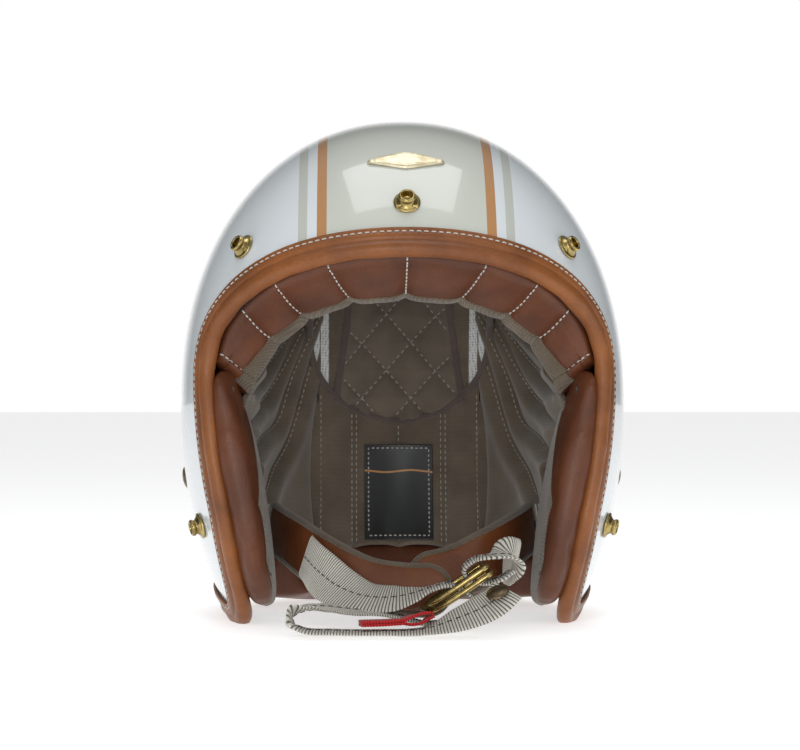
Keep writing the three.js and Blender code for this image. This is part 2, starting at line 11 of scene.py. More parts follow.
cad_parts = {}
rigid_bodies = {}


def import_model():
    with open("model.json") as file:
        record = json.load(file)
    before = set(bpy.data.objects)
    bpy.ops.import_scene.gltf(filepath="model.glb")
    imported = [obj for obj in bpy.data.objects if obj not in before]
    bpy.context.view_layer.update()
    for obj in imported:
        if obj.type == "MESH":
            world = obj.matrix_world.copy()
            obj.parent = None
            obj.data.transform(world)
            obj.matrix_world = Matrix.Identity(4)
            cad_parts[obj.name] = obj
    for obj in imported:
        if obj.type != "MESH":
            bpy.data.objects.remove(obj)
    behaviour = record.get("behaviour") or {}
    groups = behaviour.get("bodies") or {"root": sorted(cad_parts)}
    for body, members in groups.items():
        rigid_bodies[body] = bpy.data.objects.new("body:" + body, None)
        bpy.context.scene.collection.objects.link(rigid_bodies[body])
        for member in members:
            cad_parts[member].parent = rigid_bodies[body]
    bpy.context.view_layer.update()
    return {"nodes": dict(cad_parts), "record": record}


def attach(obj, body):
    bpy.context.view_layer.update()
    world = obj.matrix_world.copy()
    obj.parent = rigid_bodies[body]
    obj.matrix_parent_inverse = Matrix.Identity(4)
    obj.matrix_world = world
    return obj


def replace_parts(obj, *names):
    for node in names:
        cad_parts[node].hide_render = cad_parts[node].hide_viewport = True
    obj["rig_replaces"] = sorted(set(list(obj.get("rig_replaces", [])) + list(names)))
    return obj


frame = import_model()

MM = 0.001

# ---- Driving dimensions, in millimetres, as in the CAD ----

LIFT = 5.8  # the ground is this far under the drawing's datum
HALF_WIDTH, HALF_LENGTH = 123.0, 141.0
EQUATOR = 114.0 + LIFT
CROWN_RISE, LOWER_DROP = 155.0, 180.0
POWER = 2.12
BROW_HEIGHT, NAPE_HEIGHT = 198.0, 1.4
RIM_SIDE = [
    (-103, 186), (-85, 170), (-72.5, 152.5), (-69, 134), (-73, 103), (-75.5, 72), (-74.5, 50),
    (-67, 25), (-56.5, 7.5), (-42, -0.5), (-20, 3.4), (15, 7.5), (60, 6.5), (95, 3.2),
]
SHELL_THICKNESS = 4.0
LINER_IN = 38.0
BEAD_RADIUS, BEAD_OUT, BEAD_IN = 4.4, 4.8, 2.0
BROW_PAD_END = 0.1455
BROW_PAD_DEPTH, TEMPLE_PAD_DEPTH = 56.0, 29.0
BROW_SEAMS = [0.0, 0.0434, 0.0775, 0.1055, 0.1395]
BROW_SLANT = [0.0, 0.005, 0.0165, 0.021, 0.016]  # how much lower each seam ends at the pad's inner edge
FABRIC_EDGE = 9.0
PANEL_HALF = 48.0
STUD_POINTS = {
    "center": (0, -108.6, 216.5), "brow_right": (-84, -77.5, 194.4), "brow_left": (84, -77.5, 194.4),
    "side_right": (-110, -48, 46.6), "side_left": (110, -48, 46.6),
}
RIVET = (120, 5, 71)
RING_BAR = np.array([42.6, -102, 26.2 + LIFT])
RING_TILT = 0.6
RING_INSIDE = (26.0, 37.0)
RING_WIRE, RING_THICKNESS, RING_PITCH = 3.4, 3.0, 4.0
BADGE_SIZE, BADGE_CENTRE = (41.0, 14.0), (0, -85.6, 239.6)

ROOT = [
    (108, 6, 67, 0, 1, 0), (105.5, 6, 57, 0, 1, 0.1), (97, 4.5, 48, 0, 0.85, 0.5),
    (86, 2, 44, 0, 0.5, 0.85), (75.4, -0.4, 43, 0, 0.1, 1),
]
SLEEVE_RIGHT = [
    (-72, -2, 43, 0, 0.1, 1), (-60, -30, 37, 0, 0.2, 1), (-42, -56, 26.5, 0, 0.35, 1),
    (-22, -73, 18, 0, 0.4, 1), (2, -79, 14.8, 0, 0.35, 1), (23, -81, 15.2, 0, 0.3, 1),
]
SLEEVE_LEFT = [
    (72, -2, 43, 0, 0.1, 1), (61, -28, 38, 0, 0.2, 1), (46, -50, 31, 0, 0.35, 1),
    (27, -62, 23, 0, 0.4, 1), (4, -68, 18.5, 0, 0.4, 1),
]
LONG_WEBBING = [
    (-53, -53, 31, 0.1, 0.2, 1), (-46, -70, 24.5, 0.1, 0.5, 1), (-36, -85, 17.4, 0.05, 0.8, 0.8),
    (-23, -96, 12.8, 0, 0.87, 0.55), (-8, -101, 12.2, 0, 0.9, 0.5), (4, -102, 14.4, 0, 0.97, 0.25),
    (13, -102, 17.4, 0, 1, 0), (21, -102, 19.4, 0, 1, 0), (28, -102, 17.8, 0, 1, 0),
    (33.6, -102, 13, 0, 1, 0), (34.8, -102, 7.4, 0, 1, 0), (31, -102, 2.6, 0, 1, 0),
    (21, -102, 0.4, 0, 1, 0), (10, -101.6, -0.7, 0, 1, 0), (-1, -101.6, 2.2, 0, 1, 0),
    (-12, -102.6, 4.8, 0.05, 1, 0), (-26, -106, 6.2, 0.2, 1, 0), (-42, -113, 8.6, 0.3, 1, 0),
    (-53, -119.5, 8.6, 0.25, 1, 0), (-59.2, -123.5, 5.6, 0.15, 1, 0), (-58.6, -126, 1.6, 0, 1, 0),
    (-52.6, -127, -1.5, 0, 1, 0), (-38, -127.5, -2.3, 0, 1, 0), (-15, -128, -2.5, 0, 1, 0),
    (8, -128.4, -1.8, 0, 1, 0.04), (24, -129, 3.4, 0, 0.9, 0.4), (37, -128.6, 8.8, 0, 0.82, 0.57),
    (45, -127, 13.4, 0, 0.8, 0.6), (51, -124.6, 18.6, 0, 0.8, 0.6),
]
SHORT_WEBBING = [
    (54, -53, 28, 0, 0.2, 1), (57.5, -68, 28, 0.1, 0.5, 0.9), (57.6, -86, 30.6, 0.2, 0.9, 0.5),
    (53.6, -97, 34, 0.1, 1, 0.1), (45, -102, 34.2, 0, 1, 0), (35, -102, 32.4, 0, 1, 0),
    (29.6, -102, 27.4, 0, 1, 0), (32, -102, 22.6, 0, 1, 0), (40, -102, 20.6, 0, 1, 0),
    (49, -102, 22.8, 0, 1, 0), (54.6, -101, 26.4, 0, 1, 0),
]
RED_TAB = [
    (11.6, -119, 5.4, 0.45, 1, 0.1), (4, -122.8, 3.4, 0.45, 1, 0), (-9, -127, 2.6, 0.3, 1, 0),
    (-24, -130.4, 2.4, 0.2, 1, 0),
]

# ---- Materials ----


def shader(name, base, roughness, metallic=0.0):
    """A new material with its principled shader; returns both, and the node tree's makers."""
    made = bpy.data.materials.new(name)
    made.use_nodes = True
    nodes, links = made.node_tree.nodes, made.node_tree.links
    main = nodes["Principled BSDF"]
    main.inputs["Base Color"].default_value = (*base, 1)
    main.inputs["Roughness"].default_value = roughness
    main.inputs["Metallic"].default_value = metallic
    return made, main, nodes, links


def object_place(nodes):
    return nodes.new("ShaderNodeTexCoord").outputs["Object"]


def texture(nodes, links, kind, place, scale, **settings):
    """A procedural texture node, its sockets or settings given by name."""
    node = nodes.new(kind)
    node.inputs["Scale"].default_value = scale
    for key, value in settings.items():
        if key in node.inputs:
            node.inputs[key].default_value = value
        else:
            setattr(node, key, value)
    links.new(place, node.inputs["Vector"])
    return node


def ramp(nodes, links, source, stops, constant=False):
    """Colours by a value: stops are (position, colour)."""
    node = nodes.new("ShaderNodeValToRGB")
    node.color_ramp.interpolation = "CONSTANT" if constant else "LINEAR"
    elements = node.color_ramp.elements
    while len(elements) > 1:
        elements.remove(elements[-1])
    elements[0].position, elements[0].color = stops[0][0], (*stops[0][1], 1)
    for position, colour in stops[1:]:
        elements.new(position).color = (*colour, 1)
    links.new(source, node.inputs["Fac"])
    return node.outputs["Color"]


def math_node(nodes, links, operation, a, b=None):
    """A math node on sockets or numbers."""
    node = nodes.new("ShaderNodeMath")
    node.operation = operation
    for socket, value in zip(node.inputs, (a, b)):
        if value is None:
            continue
        if isinstance(value, (int, float)):
            socket.default_value = value
        else:
            links.new(value, socket)
    return node.outputs[0]


def bump(nodes, links, main, height, strength, distance, under=None):
    """Bumps the surface by a height, over the bump under it if one is given."""
    node = nodes.new("ShaderNodeBump")
    node.inputs["Strength"].default_value = strength
    node.inputs["Distance"].default_value = distance
    links.new(height, node.inputs["Height"])
    if under is not None:
        links.new(under, node.inputs["Normal"])
    links.new(node.outputs["Normal"], main.inputs["Normal"])
    return node.outputs["Normal"]


def mix_colour(nodes, links, a, b, blend):
    """Two colours blended in full."""
    node = nodes.new("ShaderNodeMix")
    node.data_type = "RGBA"
    node.blend_type = blend
    factor, first, second = [s for s in node.inputs if s.enabled]
    factor.default_value = 1.0
    links.new(a, first)
    links.new(b, second)
    return next(s for s in node.outputs if s.enabled)


def leather(name, dark, light, roughness):
    """Smooth-grained hide: fine pebbles, a few creases, and darker and lighter patches."""
    made, main, nodes, links = shader(name, light, roughness)
    place = object_place(nodes)
    patches = texture(nodes, links, "ShaderNodeTexNoise", place, 38, Detail=4)
    tone = ramp(nodes, links, patches.outputs["Fac"], [(0.32, dark), (0.68, light)])
    mottle = texture(nodes, links, "ShaderNodeTexNoise", place, 900, Detail=3)
    fine = ramp(nodes, links, mottle.outputs["Fac"], [(0.3, (0.82, 0.82, 0.82)), (0.7, (1, 1, 1))])
    links.new(mix_colour(nodes, links, tone, fine, "MULTIPLY"), main.inputs["Base Color"])
    wear = ramp(nodes, links, patches.outputs["Fac"],
                [(0.2, (roughness + 0.1,) * 3), (0.8, (roughness - 0.08,) * 3)])
    links.new(wear, main.inputs["Roughness"])
    pebbles = texture(nodes, links, "ShaderNodeTexVoronoi", place, 1150, Randomness=1.0)
    grain = bump(nodes, links, main, pebbles.outputs["Distance"], 0.32, 0.0003)
    crease = texture(nodes, links, "ShaderNodeTexNoise", place, 260, Detail=5)
    bump(nodes, links, main, crease.outputs["Fac"], 0.18, 0.0006, grain)
    main.inputs["Coat Weight"].default_value = 0.05
    main.inputs["Specular IOR Level"].default_value = 0.35
    main.inputs["Coat Roughness"].default_value = 0.35
    return made


def knit(name, dark, light, rows, slant=(0.0, 0.0, 0.0), depth=0.35):
    """Ribbed jersey: fine rows crossed by wales, with painted shade in the valleys between them, and fuzz."""
    made, main, nodes, links = shader(name, light, 0.95)
    place = object_place(nodes)
    turn = nodes.new("ShaderNodeMapping")
    turn.inputs["Rotation"].default_value = slant
    links.new(place, turn.inputs["Vector"])
    ribs = texture(nodes, links, "ShaderNodeTexWave", turn.outputs["Vector"], rows, bands_direction="Z",
                   Distortion=0.6)
    ribs.inputs["Detail Scale"].default_value = 3
    wales = texture(nodes, links, "ShaderNodeTexWave", turn.outputs["Vector"], rows * 1.25,
                    bands_direction="X", Distortion=0.8)
    both = math_node(nodes, links, "MULTIPLY", ribs.outputs["Fac"], wales.outputs["Fac"])
    patches = texture(nodes, links, "ShaderNodeTexNoise", place, 55, Detail=5)
    tone = ramp(nodes, links, patches.outputs["Fac"], [(0.3, dark), (0.7, light)])
    # Painted shade: the colour falls to about half in the low valleys between rows and wales, where the bump
    # sinks.
    thread = ramp(nodes, links, both, [(0.0, (0.55, 0.55, 0.55)), (0.6, (1, 1, 1))])
    links.new(mix_colour(nodes, links, tone, thread, "MULTIPLY"), main.inputs["Base Color"])
    first = bump(nodes, links, main, both, depth, 0.0005)
    fuzz = texture(nodes, links, "ShaderNodeTexNoise", place, 2600, Detail=2)
    bump(nodes, links, main, fuzz.outputs["Fac"], 0.3, 0.0004, first)
    main.inputs["Sheen Weight"].default_value = 0.35
    main.inputs["Sheen Roughness"].default_value = 0.5
    return made


def air_mesh(name):
    """Spacer mesh: pale threads round small dark holes."""
    made, main, nodes, links = shader(name, (0.4, 0.42, 0.42), 0.85)
    place = object_place(nodes)
    holes = texture(nodes, links, "ShaderNodeTexVoronoi", place, 620, Randomness=0.25)
    tone = ramp(nodes, links, holes.outputs["Distance"],
                [(0.12, (0.3, 0.31, 0.31)), (0.38, (0.72, 0.74, 0.73)), (0.7, (0.86, 0.88, 0.87))])
    links.new(tone, main.inputs["Base Color"])
    bump(nodes, links, main, holes.outputs["Distance"], 0.6, 0.0008)
    main.inputs["Sheen Weight"].default_value = 0.25
    return made


def webbing(name, cord, gap):
    """Woven tape: the rows of cords run across it, with painted shade in the grooves between them, and the UV
    map holds millimetres along and across.
    """
    made, main, nodes, links = shader(name, cord, 0.85)
    uv = nodes.new("ShaderNodeUVMap")
    split = nodes.new("ShaderNodeSeparateXYZ")
    links.new(uv.outputs["UV"], split.inputs[0])
    turn = math_node(nodes, links, "MULTIPLY", split.outputs["X"], 2 * math.pi * 1000 / 1.55)
    wave = math_node(nodes, links, "SINE", turn)
    height = math_node(nodes, links, "MULTIPLY_ADD", wave, 0.5)
    height.node.inputs[2].default_value = 0.5
    fray = texture(nodes, links, "ShaderNodeTexNoise", object_place(nodes), 2200, Detail=3)
    # Painted shade: the gap colour fills the troughs between the cords, where the tape's ribs dip, so the
    # grooves read dark.
    tone = ramp(nodes, links, height, [(0.0, gap), (0.5, cord), (1.0, cord)])
    dirt = ramp(nodes, links, fray.outputs["Fac"], [(0.3, (0.78, 0.77, 0.74)), (0.65, (1, 1, 1))])
    links.new(mix_colour(nodes, links, tone, dirt, "MULTIPLY"), main.inputs["Base Color"])
    twist = math_node(nodes, links, "ADD", height, fray.outputs["Fac"])
    bump(nodes, links, main, twist, 0.55, 0.0004)
    main.inputs["Sheen Weight"].default_value = 0.2
    return made


def metal(name, base, dark, roughness):
    """Cast or turned metal with tarnish in random patches and fine scratches."""
    made, main, nodes, links = shader(name, base, roughness, 1.0)
    place = object_place(nodes)
    patina = texture(nodes, links, "ShaderNodeTexNoise", place, 190, Detail=6)
    links.new(ramp(nodes, links, patina.outputs["Fac"], [(0.36, dark), (0.62, base)]),
              main.inputs["Base Color"])
    links.new(ramp(nodes, links, patina.outputs["Fac"],
                   [(0.3, (roughness + 0.14,) * 3), (0.7, (roughness,) * 3)]), main.inputs["Roughness"])
    marks = texture(nodes, links, "ShaderNodeTexNoise", place, 1400, Detail=2)
    bump(nodes, links, main, marks.outputs["Fac"], 0.06, 0.0003)
    return made


def paint(name):
    """White lacquer under clear coat, with the cream band, copper stripes and pale pinstripes."""
    white = (0.74, 0.785, 0.81)
    made, main, nodes, links = shader(name, white, 0.22)
    split = nodes.new("ShaderNodeSeparateXYZ")
    place = object_place(nodes)
    links.new(place, split.inputs[0])
    side = math_node(nodes, links, "ABSOLUTE", split.outputs["X"])
    share = math_node(nodes, links, "MULTIPLY", side, 10.0)
    bands = ramp(nodes, links, share, [
        (0.0, (0.6, 0.62, 0.55)), (0.413, (0.5, 0.24, 0.085)), (0.463, white),
        (0.515, (0.55, 0.57, 0.51)), (0.56, white),
    ], constant=True)
    flake = texture(nodes, links, "ShaderNodeTexNoise", place, 12, Detail=3)
    shade = ramp(nodes, links, flake.outputs["Fac"], [(0.35, (0.97, 0.975, 0.98)), (0.65, (1, 1, 1))])
    links.new(mix_colour(nodes, links, bands, shade, "MULTIPLY"), main.inputs["Base Color"])
    peel = texture(nodes, links, "ShaderNodeTexNoise", place, 420, Detail=2)
    bump(nodes, links, main, peel.outputs["Fac"], 0.015, 0.0004)
    main.inputs["Coat Weight"].default_value = 1.0
    main.inputs["Coat Roughness"].default_value = 0.03
    return made


def satin(name):
    """Black label satin with a copper wave line woven across its upper third."""
    made, main, nodes, links = shader(name, (0.012, 0.014, 0.015), 0.38)
    place = object_place(nodes)
    split = nodes.new("ShaderNodeSeparateXYZ")
    links.new(place, split.inputs[0])
    wave = math_node(nodes, links, "SINE", math_node(nodes, links, "MULTIPLY", split.outputs["X"], 210.0))
    line = math_node(nodes, links, "SUBTRACT", split.outputs["Z"],
                     math_node(nodes, links, "MULTIPLY", wave, 0.0006))
    off = math_node(nodes, links, "ABSOLUTE", math_node(nodes, links, "SUBTRACT", line, 0.0765))
    stripe = ramp(nodes, links, math_node(nodes, links, "MULTIPLY", off, 1000.0),
                  [(0.0, (0.52, 0.24, 0.07)), (0.55, (0.012, 0.014, 0.015))], constant=True)
    links.new(stripe, main.inputs["Base Color"])
    threads = texture(nodes, links, "ShaderNodeTexWave", place, 900, bands_direction="Z", Distortion=0.3)
    bump(nodes, links, main, threads.outputs["Fac"], 0.12, 0.0002)
    main.inputs["Sheen Weight"].default_value = 0.1
    return made


def foam(name):
    """Expanded beads pressed together."""
    made, main, nodes, links = shader(name, (0.03, 0.03, 0.033), 0.85)
    beads = texture(nodes, links, "ShaderNodeTexVoronoi", object_place(nodes), 330)
    links.new(ramp(nodes, links, beads.outputs["Distance"],
                   [(0.1, (0.05, 0.05, 0.055)), (0.6, (0.014, 0.014, 0.016))]), main.inputs["Base Color"])
    bump(nodes, links, main, beads.outputs["Distance"], 0.5, 0.001)
    return made


def plastic(name):
    """Moulded plastic with a fine grain."""
    made, main, nodes, links = shader(name, (0.02, 0.02, 0.021), 0.5)
    grain = texture(nodes, links, "ShaderNodeTexNoise", object_place(nodes), 1500, Detail=2)
    links.new(ramp(nodes, links, grain.outputs["Fac"], [(0.3, (0.45,) * 3), (0.7, (0.6,) * 3)]),
              main.inputs["Roughness"])
    bump(nodes, links, main, grain.outputs["Fac"], 0.15, 0.0003)
    return made


def thread(name, colour):
    """Twisted sewing thread, with painted shade in the grooves of its twist."""
    made, main, nodes, links = shader(name, colour, 0.7)
    twist = texture(nodes, links, "ShaderNodeTexWave", object_place(nodes), 1400, bands_direction="DIAGONAL")
    # Painted shade: the colour darkens in the twist's grooves, where the bump sinks.
    links.new(ramp(nodes, links, twist.outputs["Fac"],
                   [(0.0, tuple(0.7 * c for c in colour)), (0.6, colour)]), main.inputs["Base Color"])
    bump(nodes, links, main, twist.outputs["Fac"], 0.4, 0.0002)
    return made


PAINT = paint("shell_paint")
COGNAC = leather("cognac_leather", (0.19, 0.06, 0.015), (0.32, 0.108, 0.027), 0.36)
BROWN = leather("brown_leather", (0.095, 0.03, 0.0125), (0.15, 0.047, 0.0185), 0.42)
SLEEVE_LEATHER = leather("sleeve_leather", (0.12, 0.036, 0.012), (0.2, 0.062, 0.02), 0.4)
TAUPE = knit("liner_knit", (0.17, 0.132, 0.092), (0.24, 0.19, 0.138), 420)
BEIGE = knit("edge_knit", (0.135, 0.1, 0.066), (0.215, 0.165, 0.112), 300, (0.5, 0.35, 0.0), 0.6)
QUILT = knit("quilted_fabric", (0.19, 0.155, 0.115), (0.27, 0.22, 0.165), 520)
PIPING = knit("piping", (0.13, 0.098, 0.085), (0.19, 0.145, 0.125), 480)
MESH = air_mesh("air_mesh")
# Each webbing's second colour is painted shade for the grooves between its cords; the first is the cord's own
# colour.
TAPE = webbing("webbing", (0.72, 0.7, 0.63), (0.035, 0.03, 0.028))
RED = webbing("red_webbing", (0.62, 0.003, 0.006), (0.28, 0.0, 0.002))
SATIN = satin("label_satin")
BRASS = metal("brass", (0.52, 0.4, 0.16), (0.26, 0.19, 0.07), 0.18)
PALE_BRASS = metal("badge_brass", (0.78, 0.7, 0.5), (0.6, 0.52, 0.34), 0.24)
STEEL = metal("steel", (0.4, 0.38, 0.34), (0.24, 0.22, 0.19), 0.3)
BRONZE = metal("bronze", (0.26, 0.2, 0.12), (0.12, 0.09, 0.055), 0.32)
FOAM = foam("impact_foam")
PLASTIC = plastic("plate_plastic")
WHITE_THREAD = thread("white_thread", (0.62, 0.6, 0.56))
GREY_THREAD = thread("grey_thread", (0.5, 0.47, 0.41))
BLACK_THREAD = thread("black_thread", (0.02, 0.02, 0.022))

# ---- Meshes ----


def mesh_object(name, points, faces, material, uvs=None):
    """A new object from points in millimetres. uvs, if given, are metres for each vertex."""
    made = bpy.data.meshes.new(name)
    made.from_pydata([tuple(p) for p in np.asarray(points, float) * MM], [], faces)
    made.materials.append(material)
    if uvs is not None:
        layer = made.uv_layers.new(name="UVMap")
        corner = np.zeros(len(made.loops), int)
        made.loops.foreach_get("vertex_index", corner)
        layer.data.foreach_set("uv", np.asarray(uvs, float)[corner].ravel())
    made.polygons.foreach_set("use_smooth", [True] * len(made.polygons))
    made.validate()
    piece = bpy.data.objects.new(name, made)
    bpy.context.scene.collection.objects.link(piece)
    return piece


@contextmanager
def mesh_edit(piece):
    """Lends a piece's mesh to bmesh, and writes it back."""
    work = bmesh.new()
    work.from_mesh(piece.data)
    yield work
    work.to_mesh(piece.data)
    work.free()


def face_out(piece):
    """Turns a closed mesh's faces outward."""
    with mesh_edit(piece) as work:
        bmesh.ops.recalc_face_normals(work, faces=work.faces)
    return piece


def grid_faces(rows, columns, closed_rows=False, closed_columns=False):
    """Quads of a grid of points, closed either way round if asked."""
    faces = []
    for i in range(rows if closed_rows else rows - 1):
        for j in range(columns if closed_columns else columns - 1):
            a, b = i * columns + j, i * columns + (j + 1) % columns
            c, d = ((i + 1) % rows) * columns + (j + 1) % columns, ((i + 1) % rows) * columns + j
            faces.append((a, b, c, d))
    return faces


def capped_faces(rows, columns):
    """Faces of a row of rings, closed at both ends."""
    ends = [list(range(columns)), [(rows - 1) * columns + n for n in reversed(range(columns))]]
    return grid_faces(rows, columns, False, True) + ends


def apply_modifiers(piece):
    """Gives a piece the mesh that its modifiers make."""
    graph = bpy.context.evaluated_depsgraph_get()
    done = bpy.data.meshes.new_from_object(piece.evaluated_get(graph))
    piece.modifiers.clear()
    piece.data = done
    return piece


def thickened(piece, thickness):
    """Drops a sheet's unused points and thickens it away from its face."""
    with mesh_edit(piece) as work:
        bmesh.ops.delete(work, geom=[v for v in work.verts if not v.link_faces], context="VERTS")
    thick = piece.modifiers.new("thickness", "SOLIDIFY")
    thick.thickness = thickness * MM
    thick.offset = -1
    return apply_modifiers(piece)


def ride(piece, body, nodes=()):
    """Puts a piece on its body and the CAD nodes it stands for."""
    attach(piece, body)
    if nodes:
        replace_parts(piece, *nodes)
    return piece


def resample(points, step):
    """Points at even distances along a polyline, and their distances."""
    points = np.asarray(points, float)
    gone = np.concatenate([[0], np.cumsum(np.linalg.norm(np.diff(points, axis=0), axis=1))])
    at = np.linspace(0, gone[-1], max(2, int(round(gone[-1] / step)) + 1))
    return np.stack([np.interp(at, gone, points[:, k]) for k in range(points.shape[1])], 1), at


STITCH_SINK = 0.3  # share of a stitch's radius that is under the surface


def stitches(name, points, normals, material, length, gap, radius):
    """Separate sunk stitches along a line that lies on a surface."""
    both, _ = resample(np.hstack([points, normals]), 0.4)
    count = int((len(both) - 1) * 0.4 / (length + gap))
    turns, stations = 6, [(0.0, 0.35), (0.16, 0.9), (0.5, 1.0), (0.84, 0.9), (1.0, 0.35)]
    out, faces = [], []
    for k in range(count):
        start = (k + 0.5) * (length + gap) - length / 2
        first = len(out)
        for share, size in stations:
            where = min((start + share * length) / 0.4, len(both) - 1.001)
            i, t = int(where), where - int(where)
            here = both[i] * (1 - t) + both[i + 1] * t
            along = both[i + 1, :3] - both[i, :3]
            along /= max(np.linalg.norm(along), 1e-9)
            up = here[3:] / max(np.linalg.norm(here[3:]), 1e-9)
            side = np.cross(along, up)
            centre = here[:3] + up * (radius * (1 - STITCH_SINK) * size - (1 - size) * radius)
            for n in range(turns):
                angle = 2 * math.pi * n / turns
                out.append(centre + radius * size * (math.cos(angle) * side * 1.15 + math.sin(angle) * up))
        for r in range(len(stations) - 1):
            for n in range(turns):
                m = (n + 1) % turns
                faces.append((first + r * turns + n, first + r * turns + m,
                              first + (r + 1) * turns + m, first + (r + 1) * turns + n))
        faces.append([first + n for n in reversed(range(turns))])
        faces.append([first + (len(stations) - 1) * turns + n for n in range(turns)])
    return mesh_object(name, out, faces, material)


def tube(name, points, radius, material, turns, closed=False, flat=1.0, ups=None):
    """A round or flattened tube along a line."""
    points = np.asarray(points, float)
    count = len(points)
    if closed:
        along = np.roll(points, -1, 0) - np.roll(points, 1, 0)
    else:
        along = np.gradient(points, axis=0)
    along /= np.linalg.norm(along, axis=1)[:, None]
    if ups is None:
        seed = np.array([0.0, 0.0, 1.0]) if abs(along[0][2]) < 0.9 else np.array([0.0, 1.0, 0.0])
        ups = np.zeros_like(points)
        up = seed
        for i in range(count):
            up = up - along[i] * up.dot(along[i])
            up /= np.linalg.norm(up)
            ups[i] = up
    sides = np.cross(along, ups)
    radii = np.broadcast_to(np.asarray(radius, float), (count,))
    angles = np.arange(turns) * 2 * math.pi / turns
    ring = (np.cos(angles)[None, :, None] * sides[:, None] * radii[:, None, None]
            + np.sin(angles)[None, :, None] * ups[:, None] * radii[:, None, None] * flat)
    out = (points[:, None] + ring).reshape(-1, 3)
    faces = grid_faces(count, turns, True, True) if closed else capped_faces(count, turns)
    return face_out(mesh_object(name, out, faces, material))


def lathe(name, profile, base, direction, material, turns=48):
    """A turned piece: profile is (radius, height) pairs about an axis."""
    direction = np.asarray(direction, float) / np.linalg.norm(direction)
    first = np.cross(direction, [0.0, 0.0, 1.0])
    if np.linalg.norm(first) < 1e-6:
        first = np.array([1.0, 0.0, 0.0])
    first /= np.linalg.norm(first)
    second = np.cross(direction, first)
    out, faces = [], []
    rings = []
    for radius, height in profile:
        rings.append(len(out))
        count = 1 if radius < 1e-6 else turns
        for n in range(count):
            angle = 2 * math.pi * n / turns
            out.append(np.asarray(base) + direction * height
                       + radius * (math.cos(angle) * first + math.sin(angle) * second))
    for k in range(len(profile) - 1):
        a, b = rings[k], rings[k + 1]
        one, two = profile[k][0] < 1e-6, profile[k + 1][0] < 1e-6
        for n in range(turns):
            m = (n + 1) % turns
            if one and two:
                continue
            if one:
                faces.append((a, b + n, b + m))
            elif two:
                faces.append((a + n, b, a + m))
            else:
                faces.append((a + n, b + n, b + m, a + m))
    return face_out(mesh_object(name, out, faces, material))


# ---- The egg, its layers and the rim ----


def axes(inset, up):
    return (HALF_WIDTH - inset, HALF_LENGTH - inset, np.where(up, CROWN_RISE, LOWER_DROP) - inset)


def on_layer(points, inset):
    """The layer's points in the directions of the given points from the egg's centre."""
    d = np.asarray(points, float) - [0, 0, EQUATOR]
    a, b, c = axes(inset, d[..., 2] > 0)
    total = np.abs(d[..., 0] / a) ** POWER + np.abs(d[..., 1] / b) ** POWER + np.abs(d[..., 2] / c) ** POWER
    return d * (total ** (-1 / POWER))[..., None] + [0, 0, EQUATOR]


def normal_at(points):
    """Outward direction of the egg at points."""
    d = np.asarray(points, float) - [0, 0, EQUATOR]
    a, b, c = axes(0, d[..., 2] > 0)
    slope = np.stack([np.sign(d[..., k]) * np.abs(d[..., k] / s) ** (POWER - 1) / s
                      for k, s in enumerate((a, b, c))], -1)
    return slope / np.linalg.norm(slope, axis=-1)[..., None]


def lift(point):
    """A datum point of the drawing in the finished frame."""
    return np.array([point[0], point[1], point[2] + LIFT], float)


def length_at(z):
    """Half-length of the egg at a height."""
    _, b, c = axes(0, z > EQUATOR)
    return float(b * (1 - abs((z - EQUATOR) / c) ** POWER) ** (1 / POWER))


def hermite(p1, p2, t1, t2, w):
    """Point a share w of the way between two points with their tangents."""
    return (2 * p1 - 2 * p2 + t1 + t2) * w ** 3 + (-3 * p1 + 3 * p2 - 2 * t1 - t2) * w ** 2 + t1 * w + p1


def uniform_spline(points, count):
    """Catmull-Rom curve with even parameter steps, as three.js draws it."""
    points = np.asarray(points, float)
    last = len(points) - 1
    t = np.linspace(0, last, count)
    i = np.minimum(t.astype(int), last - 1)
    w = (t - i)[:, None]
    p0, p1 = points[np.maximum(i - 1, 0)], points[i]
    p2, p3 = points[i + 1], points[np.minimum(i + 2, last)]
    return hermite(p1, p2, (p2 - p0) / 2, (p3 - p1) / 2, w)


def rim_loop():
    """The shell's rim, every half millimetre, from the brow by the wearer's left."""
    side = [(-length_at(BROW_HEIGHT + LIFT), BROW_HEIGHT)] + RIM_SIDE
    side = side + [(length_at(NAPE_HEIGHT + LIFT), NAPE_HEIGHT)]
    view = uniform_spline(side, 1600)
    y, z = view[:, 0], view[:, 1] + LIFT
    a, b, c = axes(0, z > EQUATOR)
    rest = 1 - np.abs(y / b) ** POWER - np.abs((z - EQUATOR) / c) ** POWER
    x = a * np.maximum(rest, 0) ** (1 / POWER)
    x[0] = x[-1] = 0
    half = np.stack([x, y, z], 1)
    loop = np.vstack([half, (half * [-1, 1, 1])[::-1][1:]])
    even, _ = resample(loop, 0.5)
    return even[:-1]


RIM = rim_loop()
RIM_UP = normal_at(RIM)
RIM_ALONG = np.roll(RIM, -6, 0) - np.roll(RIM, 6, 0)
RIM_ALONG /= np.linalg.norm(RIM_ALONG, axis=1)[:, None]
RIM_OUT = np.cross(RIM_ALONG, RIM_UP)
RIM_OUT /= np.linalg.norm(RIM_OUT, axis=1)[:, None]


def smooth_loop(values, reach):
    """A running average along a closed line."""
    kernel = np.hanning(2 * reach + 1)
    kernel /= kernel.sum()
    padded = np.vstack([values[-reach:], values, values[:reach]])
    return np.stack([np.convolve(padded[:, k], kernel, "valid") for k in range(3)], 1)


RIM = smooth_loop(RIM, 10)
RIM_OUT = smooth_loop(RIM_OUT, 10)


